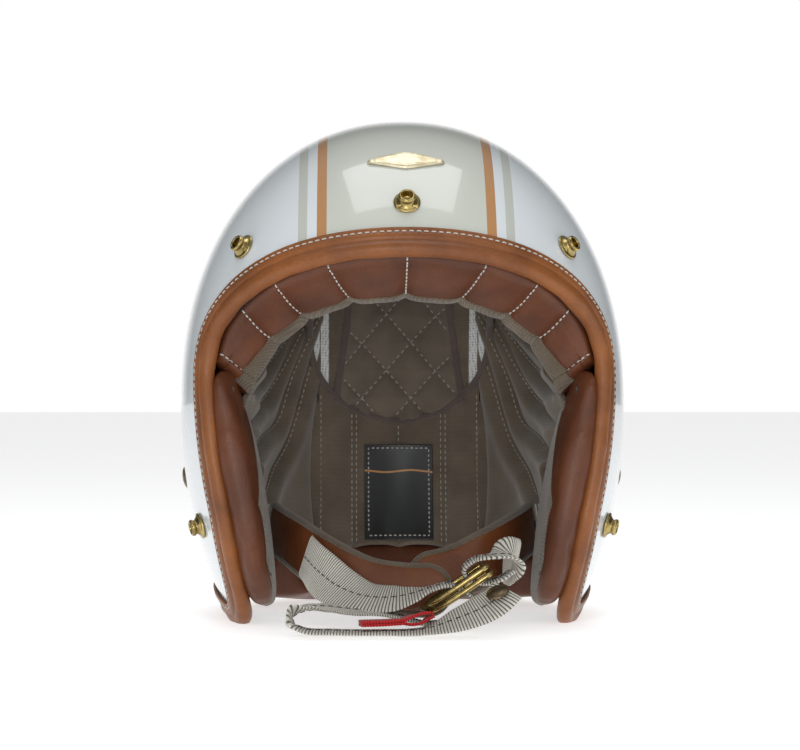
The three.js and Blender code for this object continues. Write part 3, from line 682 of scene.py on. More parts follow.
def beside_rim(u, out, up):
    """Points by the rim: u is the share of its length from the brow by the wearer's left."""
    where = (np.asarray(u, float) % 1.0) * len(RIM)
    i = where.astype(int) % len(RIM)
    j = (i + 1) % len(RIM)
    t = (where - np.floor(where))[..., None]
    at = RIM[i] * (1 - t) + RIM[j] * t
    outward = RIM_OUT[i] * (1 - t) + RIM_OUT[j] * t
    upward = RIM_UP[i] * (1 - t) + RIM_UP[j] * t
    return at + outward * np.asarray(out, float)[..., None] + upward * np.asarray(up, float)[..., None]


def inside_outline(y, z, outline):
    """True where the points (y, z) are inside a closed outline."""
    result = np.zeros(y.shape, bool)
    for (y0, z0), (y1, z1) in zip(outline, outline[1:] + outline[:1]):
        crosses = (z0 > z) != (z1 > z)
        at = y0 + (z - z0) * (y1 - y0) / ((z1 - z0) or 1e-9)
        result ^= crosses & (y < at)
    return result


# ---- Shell ----


def shell_piece():
    """The egg above the rim, as a sheet thickened inward."""
    rows, columns = 190, 320
    theta = np.linspace(0.004, math.pi - 0.3, rows)
    phi = np.arange(columns) * 2 * math.pi / columns
    t, f = np.meshgrid(theta, phi, indexing="ij")
    way = np.stack([np.sin(t) * np.sin(f), -np.sin(t) * np.cos(f), np.cos(t)], -1) * 100
    points = on_layer(way + [0, 0, EQUATOR], 0)
    view = uniform_spline([(-length_at(BROW_HEIGHT + LIFT), BROW_HEIGHT)] + RIM_SIDE
                          + [(length_at(NAPE_HEIGHT + LIFT), NAPE_HEIGHT)], 300)
    outline = [(-250, BROW_HEIGHT + LIFT)] + [(a, b + LIFT) for a, b in view]
    outline = outline + [(250, NAPE_HEIGHT + LIFT), (250, 400), (-250, 400)]
    keep = inside_outline(points[..., 1], points[..., 2], outline)
    faces = []
    for i in range(rows - 1):
        for j in range(columns):
            k = (j + 1) % columns
            if keep[i, j] and keep[i, k] and keep[i + 1, j] and keep[i + 1, k]:
                faces.append((i * columns + j, (i + 1) * columns + j, (i + 1) * columns + k, i * columns + k))
    top = len(points.reshape(-1, 3))
    flat = np.vstack([points.reshape(-1, 3), on_layer(np.array([[0, 0, EQUATOR + 100]]), 0)])
    faces += [(top, j, (j + 1) % columns) for j in range(columns)]
    piece = mesh_object("shell", flat, faces, PAINT)
    return thickened(face_out(piece), SHELL_THICKNESS)


ride(shell_piece(), "helmet", ["outer_shell"])

# ---- Edge trim ----


def trim_section():
    """The trim's outline as (out, up): the flap's folded edge, its stitched dip, and the roll."""
    bead = [(BEAD_OUT + BEAD_RADIUS * math.cos(a), -BEAD_IN + BEAD_RADIUS * math.sin(a))
            for a in (math.radians(d) for d in range(128, -200, -12))]
    flap = [(-6.0, 0.35), (-6.3, 0.8), (-6.2, 1.35), (-5.8, 1.75), (-5.1, 1.9), (-4.2, 1.85), (-3.5, 1.5),
            (-2.8, 1.85), (-1.8, 2.1), (-0.6, 2.05), (0.4, 1.6), (1.1, 1.0)]
    return flap + bead + [(0.3, 0.2), (-1.5, 0.3), (-4.0, 0.3)]


def trim_piece():
    """The trim run round the rim, with slight waves in its roll and its underside on the ground."""
    section = np.array(trim_section())
    count = 1100
    u = np.arange(count) / count
    rng = np.random.default_rng(4)
    waves = sum(rng.uniform(0.02, 0.07) * np.sin(2 * math.pi * (k * u + rng.random()))
                for k in range(9, 60, 4))
    grow = np.where((section[:, 0] > 1.2)[None, :], waves[:, None], 0.0)
    middle = np.array([BEAD_OUT, -BEAD_IN])
    away = section - middle
    away /= np.linalg.norm(away, axis=1)[:, None]
    out = section[None, :, 0] + grow * away[None, :, 0]
    up = section[None, :, 1] + grow * away[None, :, 1]
    points = beside_rim(np.broadcast_to(u[:, None], out.shape), out, up)
    points[..., 2] = np.maximum(points[..., 2], 0.0)
    piece = mesh_object("trim", points.reshape(-1, 3), grid_faces(count, len(section), True, True), COGNAC)
    return face_out(piece)


ride(trim_piece(), "helmet", ["edge_trim"])
turn = np.linspace(0.5, 1.5, 2200)
trim_stitch = beside_rim(turn, np.full_like(turn, -3.5), np.full_like(turn, 1.72))
trim_ups = normal_at(trim_stitch)
ride(stitches("trim_stitches", trim_stitch, trim_ups, WHITE_THREAD, 2.7, 1.1, 0.4), "helmet")

# ---- Brow pad ----


def pillow(s, seams, sharp):
    """1 between seams and 0 on them, with round shoulders."""
    seams = sorted(seams)
    out = np.zeros_like(s)
    for low, high in zip(seams, seams[1:]):
        inside = (s >= low) & (s <= high)
        t = (s[inside] - low) / (high - low)
        out[inside] = (1 - np.abs(2 * t - 1) ** sharp)
    return out


def brow_section(depth):
    """Outline of the pad as (out, up), clockwise from its hidden top: leather down to the fabric edge."""
    return [
        (-8, -8.4), (-2, -7.6), (3, -7.4), (6.2, -8.2), (8.0, -10.6), (8.9, -14.5), (9.2, -0.42 * depth),
        (9.1, -0.56 * depth), (8.6, -0.68 * depth), (7.9, -depth + FABRIC_EDGE + 1.5),
        (6.9, -depth + FABRIC_EDGE), (7.5, -depth + FABRIC_EDGE - 1.5), (7.0, -depth + 3.4),
        (5.4, -depth + 1.4), (2.5, -depth + 0.3), (-3, -depth), (-8, -depth + 1.6), (-11.5, -depth + 6),
        (-13, -depth + 12),
        (-13, -0.5 * depth), (-12, -12),
    ]


BROW_ALL_SEAMS = sorted([-s for s in BROW_SEAMS[1:]] + BROW_SEAMS + [-BROW_PAD_END, BROW_PAD_END])


def brow_depth(u, scallop):
    """Depth of the brow pad at a place on the rim, scalloped between the seams."""
    ease = np.cos(math.pi * u / (2 * BROW_PAD_END)).clip(0) ** 0.8
    return TEMPLE_PAD_DEPTH + (BROW_PAD_DEPTH - TEMPLE_PAD_DEPTH) * ease - 1.6 * (1 - scallop)


def brow_points(u):
    """Points and outlines of the brow pad at places on the rim."""
    puff = pillow(u, BROW_ALL_SEAMS, 4.0)
    depth = brow_depth(u, puff)
    section = np.array([uniform_spline(brow_section(d) + [brow_section(d)[0]], 97)[:-1] for d in depth])
    out, up = section[..., 0], section[..., 1]
    face = np.clip((out - 2.0) / 6.0, 0, 1)
    below = np.clip((-up - 9) / 6, 0, 1)
    out = out - (1 - puff[:, None]) * 2.3 * face * below
    ends = np.clip((BROW_PAD_END - np.abs(u)) / 0.006, 0, 1) ** 0.5
    out = out * (0.55 + 0.45 * ends[:, None]) - 1.5 * (1 - ends[:, None])
    slant = np.sign(u) * np.interp(np.abs(u), BROW_SEAMS, BROW_SLANT)
    inward = np.clip((-section[..., 1] - 9) / (depth[:, None] - 9), 0, 1)
    return beside_rim(u[:, None] + slant[:, None] * inward, out, up), section


def brow_piece():
    """The brow pad: leather in front, knit on its lower edge and behind."""
    u = np.unique(np.concatenate([np.linspace(-BROW_PAD_END, BROW_PAD_END, 331)]
                                 + [np.array(BROW_ALL_SEAMS)]))
    points, section = brow_points(u)
    rows, columns = points.shape[:2]
    piece = mesh_object("brow_cushion", points.reshape(-1, 3), capped_faces(rows, columns), BROWN)
    piece.data.materials.append(BEIGE)
    for f in piece.data.polygons[: (rows - 1) * columns]:
        i, j = divmod(f.index, columns)
        out, up = section[i, j]
        depth = -section[i, :, 1].min()
        f.material_index = 1 if up < -depth + FABRIC_EDGE + 0.4 or out < 1.0 else 0
    return face_out(piece)


brow = ride(brow_piece(), "helmet", ["brow_pad"])
for number, seam in enumerate(BROW_ALL_SEAMS[1:-1]):
    line, shape = brow_points(np.array([seam - 0.0006, seam, seam + 0.0006]))
    depth = -shape[1, :, 1].min()
    shown = [j for j in range(shape.shape[1])
             if shape[1, j, 0] > 4.0 and -depth + FABRIC_EDGE - 2 < shape[1, j, 1] < -7.6]
    path = line[1, shown]
    facing = np.cross(line[2, shown] - line[0, shown], np.gradient(path, axis=0))
    facing /= np.linalg.norm(facing, axis=1)[:, None]
    if facing[len(facing) // 2] @ (np.array([0, -40.0, 120]) - path[len(path) // 2]) < 0:
        facing = -facing
    ride(stitches(f"brow_stitches_{number}", path, facing, WHITE_THREAD, 2.6, 1.2, 0.42), "helmet")

# ---- Liner ----

LINER_LOW = 27 + LIFT
LINER_SIDE = [(y, z + LIFT) for y, z in (
    (-125, 205), (-58, 135), (-9, 135), (-9, 88), (25, 88), (25, 27), (150, 27), (150, 280), (-125, 280))]

# Front edge of the side panels, as (height, y): it slides in behind the cheek cushions.
LINER_FRONT = [(27, 8), (80, 2), (90, -24), (100, -44), (118, -60), (132, -72), (145, -80), (205, -126)]

# Seams of the side panels: height of each seam at angles from the rear, in degrees.
SIDE_SEAMS = [
    [(27, 150), (29, 122), (32, 88), (36, 38)],
    [(31, 165), (34.5, 138), (45.5, 96), (60, 77), (73, 65), (95, 52)],
    [(34, 172), (40, 152), (50, 110), (66, 98), (87, 89), (110, 84)],
    [(37, 176), (43, 156), (59, 125), (72, 116), (87, 110), (110, 106)],
    [(40, 179), (46, 158), (58, 142), (72, 133), (90, 126), (112, 124)],
    [(44, 183), (56, 165), (75, 152), (95, 146), (120, 142)],
]


WALL_ARC = 1.55  # millimetres of wall for each degree round the middle


def seam_distance(arc, z, seam):
    """Distance in millimetres from points to a seam, on the unrolled wall."""
    line = uniform_spline([(a * WALL_ARC, h) for a, h in seam], 60)
    best = np.full(arc.shape, 1e9)
    for (a0, z0), (a1, z1) in zip(line[:-1], line[1:]):
        da, dz = a1 - a0, z1 - z0
        t = np.clip(((arc - a0) * da + (z - z0) * dz) / (da * da + dz * dz), 0, 1)
        d = np.hypot(arc - a0 - t * da, z - z0 - t * dz)
        side = np.sign((arc - a0) * dz - (z - z0) * da)
        best = np.where(d < np.abs(best), d * side, best)
    return best


def side_height(psi, z):
    """How far the padded wall stands in from its layer: soft folds between the seams."""
    arc = psi * WALL_ARC
    height = np.zeros(arc.shape) + 2.2
    for seam in SIDE_SEAMS:
        d = seam_distance(arc, z, seam)
        crease = np.exp(-np.abs(d) / 2.6) * 4.6
        lip = np.exp(-((d - 7.5) / 6) ** 2) * 3.4
        height += lip - crease
    return height


def wall_point(psi, z, inset):
    """Point of a layer at an angle from the rear, towards the wearer's left, and a height."""
    angle = np.radians(psi)
    a, b, c = axes(inset, z > EQUATOR)
    rest = np.maximum(1 - np.abs((z - EQUATOR) / c) ** POWER, 1e-9)
    size = np.abs(np.sin(angle) / a) ** POWER + np.abs(np.cos(angle) / b) ** POWER
    radius = (rest / size) ** (1 / POWER)
    return np.stack([radius * np.sin(angle), radius * np.cos(angle), np.broadcast_to(z, radius.shape)], -1)


def behind_brow(points):
    """True where a liner point is clear of the brow pad."""
    step = 5
    tree = KDTree(len(RIM) // step + 1)
    for i in range(0, len(RIM), step):
        tree.insert(RIM[i] - RIM_UP[i] * 34, i)
    tree.balance()
    flat = points.reshape(-1, 3)
    clear = np.ones(len(flat), bool)
    for k in np.nonzero(flat[:, 1] < 0)[0]:
        _, i, _ = tree.find(flat[k])
        u = min(i, len(RIM) - i) / len(RIM)
        clear[k] = u > 0.165 or (flat[k] - RIM[i]) @ RIM_OUT[i] < -6
    return clear.reshape(points.shape[:-1])


def masked(name, points, keep, material, thickness, flip):
    """A sheet from the kept part of a grid, thickened away from the side that shows."""
    rows, columns = points.shape[:2]
    faces = []
    for a, b, c, d in grid_faces(rows, columns):
        if keep[a] and keep[b] and keep[c] and keep[d]:
            faces.append((d, c, b, a) if flip else (a, b, c, d))
    piece = mesh_object(name, points.reshape(-1, 3), faces, material)
    return thickened(piece, thickness)


def side_panel(side):
    """One side of the liner, from the nape panel to behind the cheek cushion."""
    z = EQUATOR + np.concatenate([
        np.linspace(LINER_LOW - EQUATOR, 0, 130)[:-1],
        (CROWN_RISE - LINER_IN) * np.sin(np.linspace(0, math.radians(76), 150)),
    ])
    a, b, c = axes(LINER_IN, z > EQUATOR)
    rest = 1 - np.abs((z - EQUATOR) / c) ** POWER
    rear = b * np.maximum(rest - ((PANEL_HALF + 0.3) / a) ** POWER, 0) ** (1 / POWER)
    front = np.interp(z, [h + LIFT for h, _ in LINER_FRONT], [y for _, y in LINER_FRONT])
    front = np.maximum(front, -rear)
    wide = a * np.maximum(rest - np.abs(front / b) ** POWER, 1e-6) ** (1 / POWER)
    first, last = np.degrees(np.arctan2(PANEL_HALF + 0.3, rear)), np.degrees(np.arctan2(wide, front))
    share = np.linspace(0, 1, 260)[:, None]
    p = first[None] + share * (last - first)[None]
    h = np.broadcast_to(z[None], p.shape)
    base = wall_point(p, h, LINER_IN)
    up = normal_at(base)
    tuck = np.clip((base[..., 1] - front[None]) / 34, 0, 1)
    tuck = (1 - tuck * tuck * (3 - 2 * tuck)) * np.clip((h - 84) / 10, 0, 1) * np.clip((165 - h) / 20, 0, 1)
    points = base - up * (side_height(p, h) * (1 - tuck) - 11 * tuck)[..., None]
    keep = np.broadcast_to((rear > 1)[None], p.shape) & behind_brow(points)
    points[..., 0] *= side
    name = "left" if side > 0 else "right"
    piece = masked(f"liner_wall_{name}", points, keep.ravel(), TAUPE, 3.0, side > 0)
    ride(piece, "helmet", [f"liner_side_{name}"])


def side_stitches(side):
    """The seams that show on one side of the liner."""
    name = "left" if side > 0 else "right"
    for k, seam in enumerate(SIDE_SEAMS[1:5]):
        line = uniform_spline(seam, 90)
        base = wall_point(line[:, 0] - 1.0, line[:, 1], LINER_IN)
        up = normal_at(base)
        points = base - up * (side_height(line[:, 0] - 1.0, line[:, 1]) + 0.1)[:, None]
        keep = (base[:, 0] > PANEL_HALF + 1) & inside_outline(base[:, 1], base[:, 2], LINER_SIDE)
        points, up = points[keep] * [side, 1, 1], up[keep] * [side, 1, 1]
        ride(stitches(f"liner_stitches_{name}_{k}", points, -up, GREY_THREAD, 2.2, 1.4, 0.3), "helmet")


# Middle of the liner: a grid across, and round from the nape over the crown to the brow.


def middle_point(x, turn, inset):
    """Point of a layer at a distance across and an angle in the side view, 0 at the rear."""
    a, b, _ = axes(inset, True)
    c = np.where(np.sin(turn) > 0, CROWN_RISE, LOWER_DROP) - inset
    squeeze = np.maximum(1 - np.abs(x / a) ** POWER, 0) ** (1 / POWER)
    size = (np.abs(np.cos(turn) / b) ** POWER + np.abs(np.sin(turn) / c) ** POWER) ** (-1 / POWER)
    size = size * squeeze
    return np.stack([x + 0 * turn, np.cos(turn) * size, np.sin(turn) * size + EQUATOR], -1)


def rear_turn(x, z, inset):
    """Angle in the side view at which a layer reaches height z at the rear."""
    a, b, _ = axes(inset, True)
    c = np.where(z > EQUATOR, CROWN_RISE, LOWER_DROP) - inset
    squeeze = np.maximum(1 - np.abs(x / a) ** POWER, 1e-9) ** (1 / POWER)
    rise = (z - EQUATOR) / squeeze
    run = b * np.maximum(1 - np.abs(rise / c) ** POWER, 1e-9) ** (1 / POWER)
    return np.arctan2(rise, run)


NAPE_SEAMS = [-27.0, 0.0, 27.0]


def nape_height(x):
    """How far the nape panel stands in from its layer, in channels."""
    puff = pillow(np.clip(x, -PANEL_HALF, PANEL_HALF), [-PANEL_HALF] + NAPE_SEAMS + [PANEL_HALF], 3.0)
    return 0.4 + 3.4 * puff


def nape_piece():
    """The middle panel of the liner, from the neck over the crown."""
    x = np.linspace(-PANEL_HALF, PANEL_HALF, 161)
    share = np.linspace(0, 1, 330)
    start = rear_turn(x, np.full_like(x, LINER_LOW), LINER_IN)
    t = start[None] + share[:, None] * (math.radians(150) - start[None])
    xs = np.broadcast_to(x[None], t.shape)
    base = middle_point(xs, t, LINER_IN)
    up = normal_at(base)
    points = base - up * nape_height(xs)[..., None]
    keep = inside_outline(base[..., 1], base[..., 2] + 0.01, LINER_SIDE) & behind_brow(points)
    piece = masked("liner_nape", points, keep.ravel(), TAUPE, 3.0, False)
    ride(piece, "helmet", ["nape_panel"])


def nape_stitches():
    """The nape panel's seams: one in the middle and pairs beside it."""
    turn = np.radians(np.linspace(-52, 2, 120))
    for k, (seam, offset) in enumerate([(0.0, 0.0), (-27.0, -1.4), (-27.0, 1.4), (27.0, -1.4), (27.0, 1.4),
                                        (-47.0, 0.0), (47.0, 0.0)]):
        x = np.full_like(turn, seam + offset)
        base = middle_point(x, turn, LINER_IN)
        up = normal_at(base)
        points = base - up * (nape_height(x) + 0.05)[:, None]
        keep = base[:, 2] > LINER_LOW + 1
        ride(stitches(f"nape_stitches_{k}", points[keep], -up[keep], GREY_THREAD, 2.2, 1.4, 0.3), "helmet")


for way in (1, -1):
    side_panel(way)
    side_stitches(way)
nape_piece()
nape_stitches()

# ---- Crown pad ----

CROWN_PAD_IN = 42.0
CROWN_LOW = 101.0 + LIFT
CROWN_HALF = 52.5
CROWN_ROUND = 47.7  # height of the round end


def crown_edge():
    """The pad's edge as (x, height at the rear): up one side, round its low end and up the other."""
    round_part = [(CROWN_HALF * math.cos(a), CROWN_LOW + CROWN_ROUND + CROWN_ROUND * math.sin(a))
                  for a in np.linspace(math.pi, 2 * math.pi, 90)]
    return [(-CROWN_HALF, 215)] + round_part + [(CROWN_HALF, 215)]


def crown_low_edge(x):
    """Height of the pad's round low end at a distance across."""
    return CROWN_LOW + CROWN_ROUND - CROWN_ROUND * np.sqrt(np.maximum(1 - (x / CROWN_HALF) ** 2, 0))


def quilt_half(z):
    """Half-width of the quilted middle, which narrows upwards."""
    return np.interp(z, [105, 125, 170, 235], [37, 36.5, 30, 26])


# Diagonal stitch lines of the quilting: their pitch, and their direction across and round the crown.
QUILT_PITCH = 23.0
QUILT_ACROSS, QUILT_ROUND = 0.78, 0.62
CROWN_ARC = 110.0  # radius that turns an angle round the crown into millimetres


def quilt_lines(x, s):
    """Distance to the nearest diagonal stitch line of the quilting."""
    first = np.abs(((x * QUILT_ACROSS + s * QUILT_ROUND) / QUILT_PITCH + 0.25) % 1 - 0.5) * QUILT_PITCH
    second = np.abs(((x * QUILT_ACROSS - s * QUILT_ROUND) / QUILT_PITCH + 0.25) % 1 - 0.5) * QUILT_PITCH
    return first, second


def crown_piece():
    """The quilted middle of the crown pad and the net on each side of it."""
    x = np.linspace(-CROWN_HALF - 2, CROWN_HALF + 2, 241)
    turn = np.radians(np.linspace(-12, 138, 420))
    t, xs = np.meshgrid(turn, x, indexing="ij")
    base = middle_point(xs, t, CROWN_PAD_IN - 1.0)
    up = normal_at(base)
    s = t * CROWN_ARC
    first, second = quilt_lines(xs, s)
    near = np.minimum(first, second)
    half = quilt_half(base[..., 2])
    in_quilt = np.abs(xs) < half
    edge_gap = np.abs(np.abs(xs) - half)
    puff = 4.2 * (1 - np.exp(-near / 4.2)) * np.clip(edge_gap / 5, 0, 1) ** 0.5
    height = np.where(in_quilt, 0.4 + puff, 0.2)
    points = base - up * height[..., None]
    low_edge = crown_low_edge(xs)
    inside = (np.abs(xs) < CROWN_HALF) & ((base[..., 2] > low_edge) | (base[..., 1] < 30))
    inside &= inside_outline(base[..., 1], base[..., 2], LINER_SIDE) & (base[..., 1] > -50)
    quilt = masked("crown_quilt", points, (inside & (np.abs(xs) < half + 0.7)).ravel(), QUILT, 3.0, False)
    ride(quilt, "helmet", ["crown_pad"])
    for side, name in ((1, "left"), (-1, "right")):
        part = inside & (xs * side > half - 0.7)
        piece = masked(f"crown_net_{name}", points, part.ravel(), MESH, 1.6, False)
        ride(piece, "helmet", [f"crown_mesh_{name}"])


def on_crown(line, inset=CROWN_PAD_IN):
    """Points of the crown pad's layer at (x, height at the rear)."""
    line = np.asarray(line, float)
    return middle_point(line[:, 0], rear_turn(line[:, 0], line[:, 1], inset), inset)


def crown_trimmings():
    """The crown pad's pipings and quilting stitches."""
    edge = on_crown(crown_edge())
    edge = resample(edge, 1.5)[0]
    ride(tube("crown_piping_edge", edge, 1.9, PIPING, 14), "helmet")
    z = np.linspace(118, 205, 60)
    for side, name in ((1, "left"), (-1, "right")):
        line = on_crown(np.stack([side * quilt_half(z), z], 1), CROWN_PAD_IN)
        band = resample(line, 1.5)[0]
        ride(tube(f"crown_piping_{name}", band, 2.6, PIPING, 14, flat=0.55, ups=normal_at(band)), "helmet")
    count = 0
    for direction in (1, -1):
        for k in range(-6, 12):
            offset = (k + 0.25) * QUILT_PITCH
            xs = np.linspace(-40, 40, 200)
            t = direction * (offset - xs * QUILT_ACROSS) / QUILT_ROUND / CROWN_ARC
            base = middle_point(xs, t, CROWN_PAD_IN - 1.0)
            low = crown_low_edge(xs)
            keep = (np.abs(xs) < quilt_half(base[:, 2]) - 1.5) & (base[:, 2] > low + 2) & (t > -0.2)
            keep &= (t < math.radians(95))
            if keep.sum() < 12:
                continue
            points, up = base[keep], normal_at(base[keep])
            ride(stitches(f"quilt_stitches_{count}", points - up * 0.55, -up, GREY_THREAD, 2.6, 1.5, 0.32),
                 "helmet")
            count += 1


crown_piece()
crown_trimmings()

# ---- Label ----


def label_piece():
    """The sewn label, slack at its foot, with its border of stitches."""
    half, low, high = 21.0, 29.0 + LIFT, 86.0 + LIFT
    xs = np.linspace(-half, half, 85)
    zs = np.linspace(low, high, 115)
    z, x = np.meshgrid(zs, xs, indexing="ij")
    base = middle_point(x, rear_turn(x, z, 39.2), 39.2)
    up = normal_at(base)
    rng = np.random.default_rng(11)
    t, v = (x + half) / (2 * half), (z - low) / (high - low)
    sag = sum(rng.uniform(0.2, 0.45) * np.sin(math.pi * (k * t + rng.random() * 2) + 2.2 * v)
              * np.exp(-v * 5) for k in (2, 3, 5))
    rise = 3.5 + 0.9 * sag + 0.35 * np.sin(math.pi * t * 3) * np.sin(math.pi * v)
    points = base - up * rise[..., None]
    piece = masked("sewn_label", points, np.ones(points.shape[:2], bool).ravel(), SATIN, 0.5, False)
    ride(piece, "helmet", ["liner_label"])
    inner = 2.2
    edge = [(-half + inner, low + inner), (half - inner, low + inner), (half - inner, high - inner),
            (-half + inner, high - inner), (-half + inner, low + inner)]
    line = resample(np.array(edge), 0.8)[0]
    base = middle_point(line[:, 0], rear_turn(line[:, 0], line[:, 1], 39.2), 39.2)
    up = normal_at(base)
    ride(stitches("label_stitches", base - up * 3.9, -up, WHITE_THREAD, 1.7, 1.2, 0.42), "helmet")


label_piece()

# ---- Padded pieces swollen from their CAD solids ----


CLOTH_PRESSURE = 4.0


def swollen(piece, voxel, shrink=1.0, cap=3.5):
    """Makes a soft solid a cushion: remeshed, shrunk, blown up as cloth, and smoothed."""
    mesh = piece.modifiers.new("remesh", "REMESH")
    mesh.mode, mesh.voxel_size = "VOXEL", voxel * MM
    ease = piece.modifiers.new("ease", "SMOOTH")
    ease.factor, ease.iterations = 0.5, 6
    apply_modifiers(piece)
    start = np.array([v.co for v in piece.data.vertices])
    normals = np.array([v.normal for v in piece.data.vertices])
    begin = start - normals * shrink * MM
    piece.data.vertices.foreach_set("co", begin.astype(np.float32).ravel())
    moved = begin
    cloth = piece.modifiers.new("cloth", "CLOTH")
    cloth.settings.use_pressure = True
    cloth.settings.uniform_pressure_force = CLOTH_PRESSURE
    cloth.settings.effector_weights.gravity = 0
    cloth.settings.quality = 5
    scene = bpy.context.scene
    for step in range(1, 21):
        scene.frame_set(step)
    graph = bpy.context.evaluated_depsgraph_get()
    moved = np.array([v.co for v in piece.evaluated_get(graph).data.vertices])
    piece.modifiers.clear()
    scene.frame_set(1)
    step = moved - begin
    far = np.linalg.norm(step, axis=1)
    step *= (np.minimum(far, cap * MM) / np.maximum(far, 1e-9))[:, None]
    piece.data.vertices.foreach_set("co", (begin + step).astype(np.float32).ravel())
    fine = piece.modifiers.new("fine", "SUBSURF")
    fine.levels = fine.render_levels = 1
    apply_modifiers(piece)
    piece.data.polygons.foreach_set("use_smooth", [True] * len(piece.data.polygons))
    return piece


CHEEK_INSIDE = [(69.5, 0), (72, 22), (75, 46), (81, 86), (92, 122), (96, 140)]


def cheek_inside(z):
    """Half-width between the cheek cushions' inner sides at a height."""
    return np.interp(z, [h + LIFT for _, h in CHEEK_INSIDE], [w for w, _ in CHEEK_INSIDE])


CHEEK_FRONT = [(0, -62), (6, -73), (26, -84), (52, -88.5), (80, -88), (108, -85), (132, -81), (140, -80)]
CHEEK_REAR = -12.3
CHEEK_LOW, CHEEK_HIGH = 0.6 + LIFT, 134.0 + LIFT


RIM_FRONT = np.array(sorted([p for p in RIM[:len(RIM) // 2].tolist() if p[1] < -40 and p[2] < 165],
                            key=lambda p: p[2]))


def cheek_section(z):
    """The pad's outline at a height, as (x, y): tucked behind the roll, bulging forward, then back."""
    edge_x, edge_y = (float(np.interp(z, RIM_FRONT[:, 2], RIM_FRONT[:, k])) for k in (0, 1))
    inner = float(cheek_inside(z))
    face = float(np.interp(z, [h + LIFT for h, _ in CHEEK_FRONT], [y for _, y in CHEEK_FRONT]))
    outer = edge_x - 6.5
    wide = max(outer - inner, 5.0)
    by_wall = [(CHEEK_REAR, 19), (-20, 15), (-38, 15), (-54, 15)]
    back = [(float(wall_side(y, z, inset)), y) for y, inset in by_wall]
    back[-1] = (back[-1][0], min(-54, edge_y + 12))
    return [
        (edge_x - 4.0, edge_y + 5), (outer + 0.6, edge_y - 3), (outer - 0.1 * wide, face + 1.6),
        (outer - 0.35 * wide, face - 0.6), (inner + 0.35 * wide, face - 0.4),
        (inner + 0.12 * wide, face + 2.2), (inner - 0.6, face + 8), (inner - 1.2, 0.65 * face),
        (inner - 1.0, 0.4 * face), (inner + 0.6, CHEEK_REAR - 5), (inner + 4.5, CHEEK_REAR), *back,
    ]


def wall_side(y, z, inset):
    """Half-width of a layer at a place in the side view."""
    a, b, c = axes(inset, z > EQUATOR)
    return a * max(1 - abs(y / b) ** POWER - abs((z - EQUATOR) / c) ** POWER, 0) ** (1 / POWER)


def cheek_blank(name, side):
    """The pad's blank: its outlines stacked up, drawn in towards its round top and bottom."""
    rows, turns = 46, 72
    rings = []
    for k in range(rows + 1):
        share = math.sin((k / rows - 0.5) * math.pi) * 0.5 + 0.5
        z = CHEEK_LOW + share * (CHEEK_HIGH - CHEEK_LOW)
        section = cheek_section(z)
        ring = resample(uniform_spline(section + section[:1], 400), 0.5)[0]
        pick = np.linspace(0, len(ring) - 1, turns + 1).astype(int)[:-1]
        ring = ring[pick]
        low = np.clip((z - CHEEK_LOW) / 13.0, 0, 1)
        high = np.clip((CHEEK_HIGH - z) / 7.0, 0, 1)
        size = max(0.12, math.sqrt(1 - (1 - low) ** 2.4)) * max(0.12, math.sqrt(1 - (1 - high) ** 2.2))
        middle = ring.mean(0)
        ring = middle + (ring - middle) * size
        rings.append(np.hstack([ring * [side, 1], np.full((turns, 1), z)]))
    return face_out(mesh_object(name, np.vstack(rings), capped_faces(rows + 1, turns), BROWN))


# Where the leather ends and the knit begins on a cheek cushion's inner side, as (height, y).
CHEEK_STRIP = [(-10, -47), (0, -50), (6, -62), (26, -75), (60, -79), (118, -48), (150, -46)]


def cheek_piece(side):
    """A cheek cushion, leather in front and knit on its inner side and back."""
    name = "left" if side > 0 else "right"
    piece = swollen(cheek_blank(f"cheek_cushion_{name}", side), 3.6, 0.6, 2.4)
    piece.data.materials.append(BEIGE)
    line = np.array([(y, z + LIFT) for z, y in CHEEK_STRIP])
    with mesh_edit(piece) as work:
        for (y0, z0), (y1, z1) in zip(line, line[1:]):
            bmesh.ops.bisect_plane(
                work, geom=work.verts[:] + work.edges[:] + work.faces[:], dist=1e-7,
                plane_co=(0, y0 * MM, z0 * MM), plane_no=(0, z1 - z0, y0 - y1))
    for f in piece.data.polygons:
        c = f.center / MM
        knitted = c.y > np.interp(c.z, line[:, 1], line[:, 0]) and c.x * side < cheek_inside(c.z) + 12
        f.material_index = 1 if knitted or c.y > -20 else 0
        f.use_smooth = True
    ride(piece, "helmet", [f"cheek_pad_{name}"])


for way in (1, -1):
    cheek_piece(way)


def neck_piece():
    """The neck roll, swollen from its CAD solid."""
    piece = bpy.data.objects.new("neck_cushion", frame["nodes"]["neck_roll"].data.copy())
    bpy.context.scene.collection.objects.link(piece)
    piece.data.materials.clear()
    piece.data.materials.append(BROWN)
    swollen(piece, 4.5)
    ride(piece, "helmet", ["neck_roll"])


neck_piece()

# ---- Straps ----


def centripetal(points, count):
    """Centripetal Catmull-Rom curve through points, as three.js draws it, at even parameter steps."""
    points = np.asarray(points, float)
    n = len(points)
    out = []
    for t in np.linspace(0, n - 1, count):
        i = min(int(t), n - 2)
        w = t - i
        p1, p2 = points[i], points[i + 1]
        p0 = points[i - 1] if i > 0 else 2 * points[0] - points[1]
        p3 = points[i + 2] if i + 2 < n else 2 * points[-1] - points[-2]
        d0, d1, d2 = (max(float(np.dot(b - a, b - a)) ** 0.25, 1e-4)
                      for a, b in ((p0, p1), (p1, p2), (p2, p3)))
        t1 = ((p1 - p0) / d0 - (p2 - p0) / (d0 + d1) + (p2 - p1) / d1) * d1
        t2 = ((p2 - p1) / d1 - (p3 - p1) / (d1 + d2) + (p3 - p2) / d2) * d1
        out.append(hermite(p1, p2, t1, t2, w))
    return np.array(out)


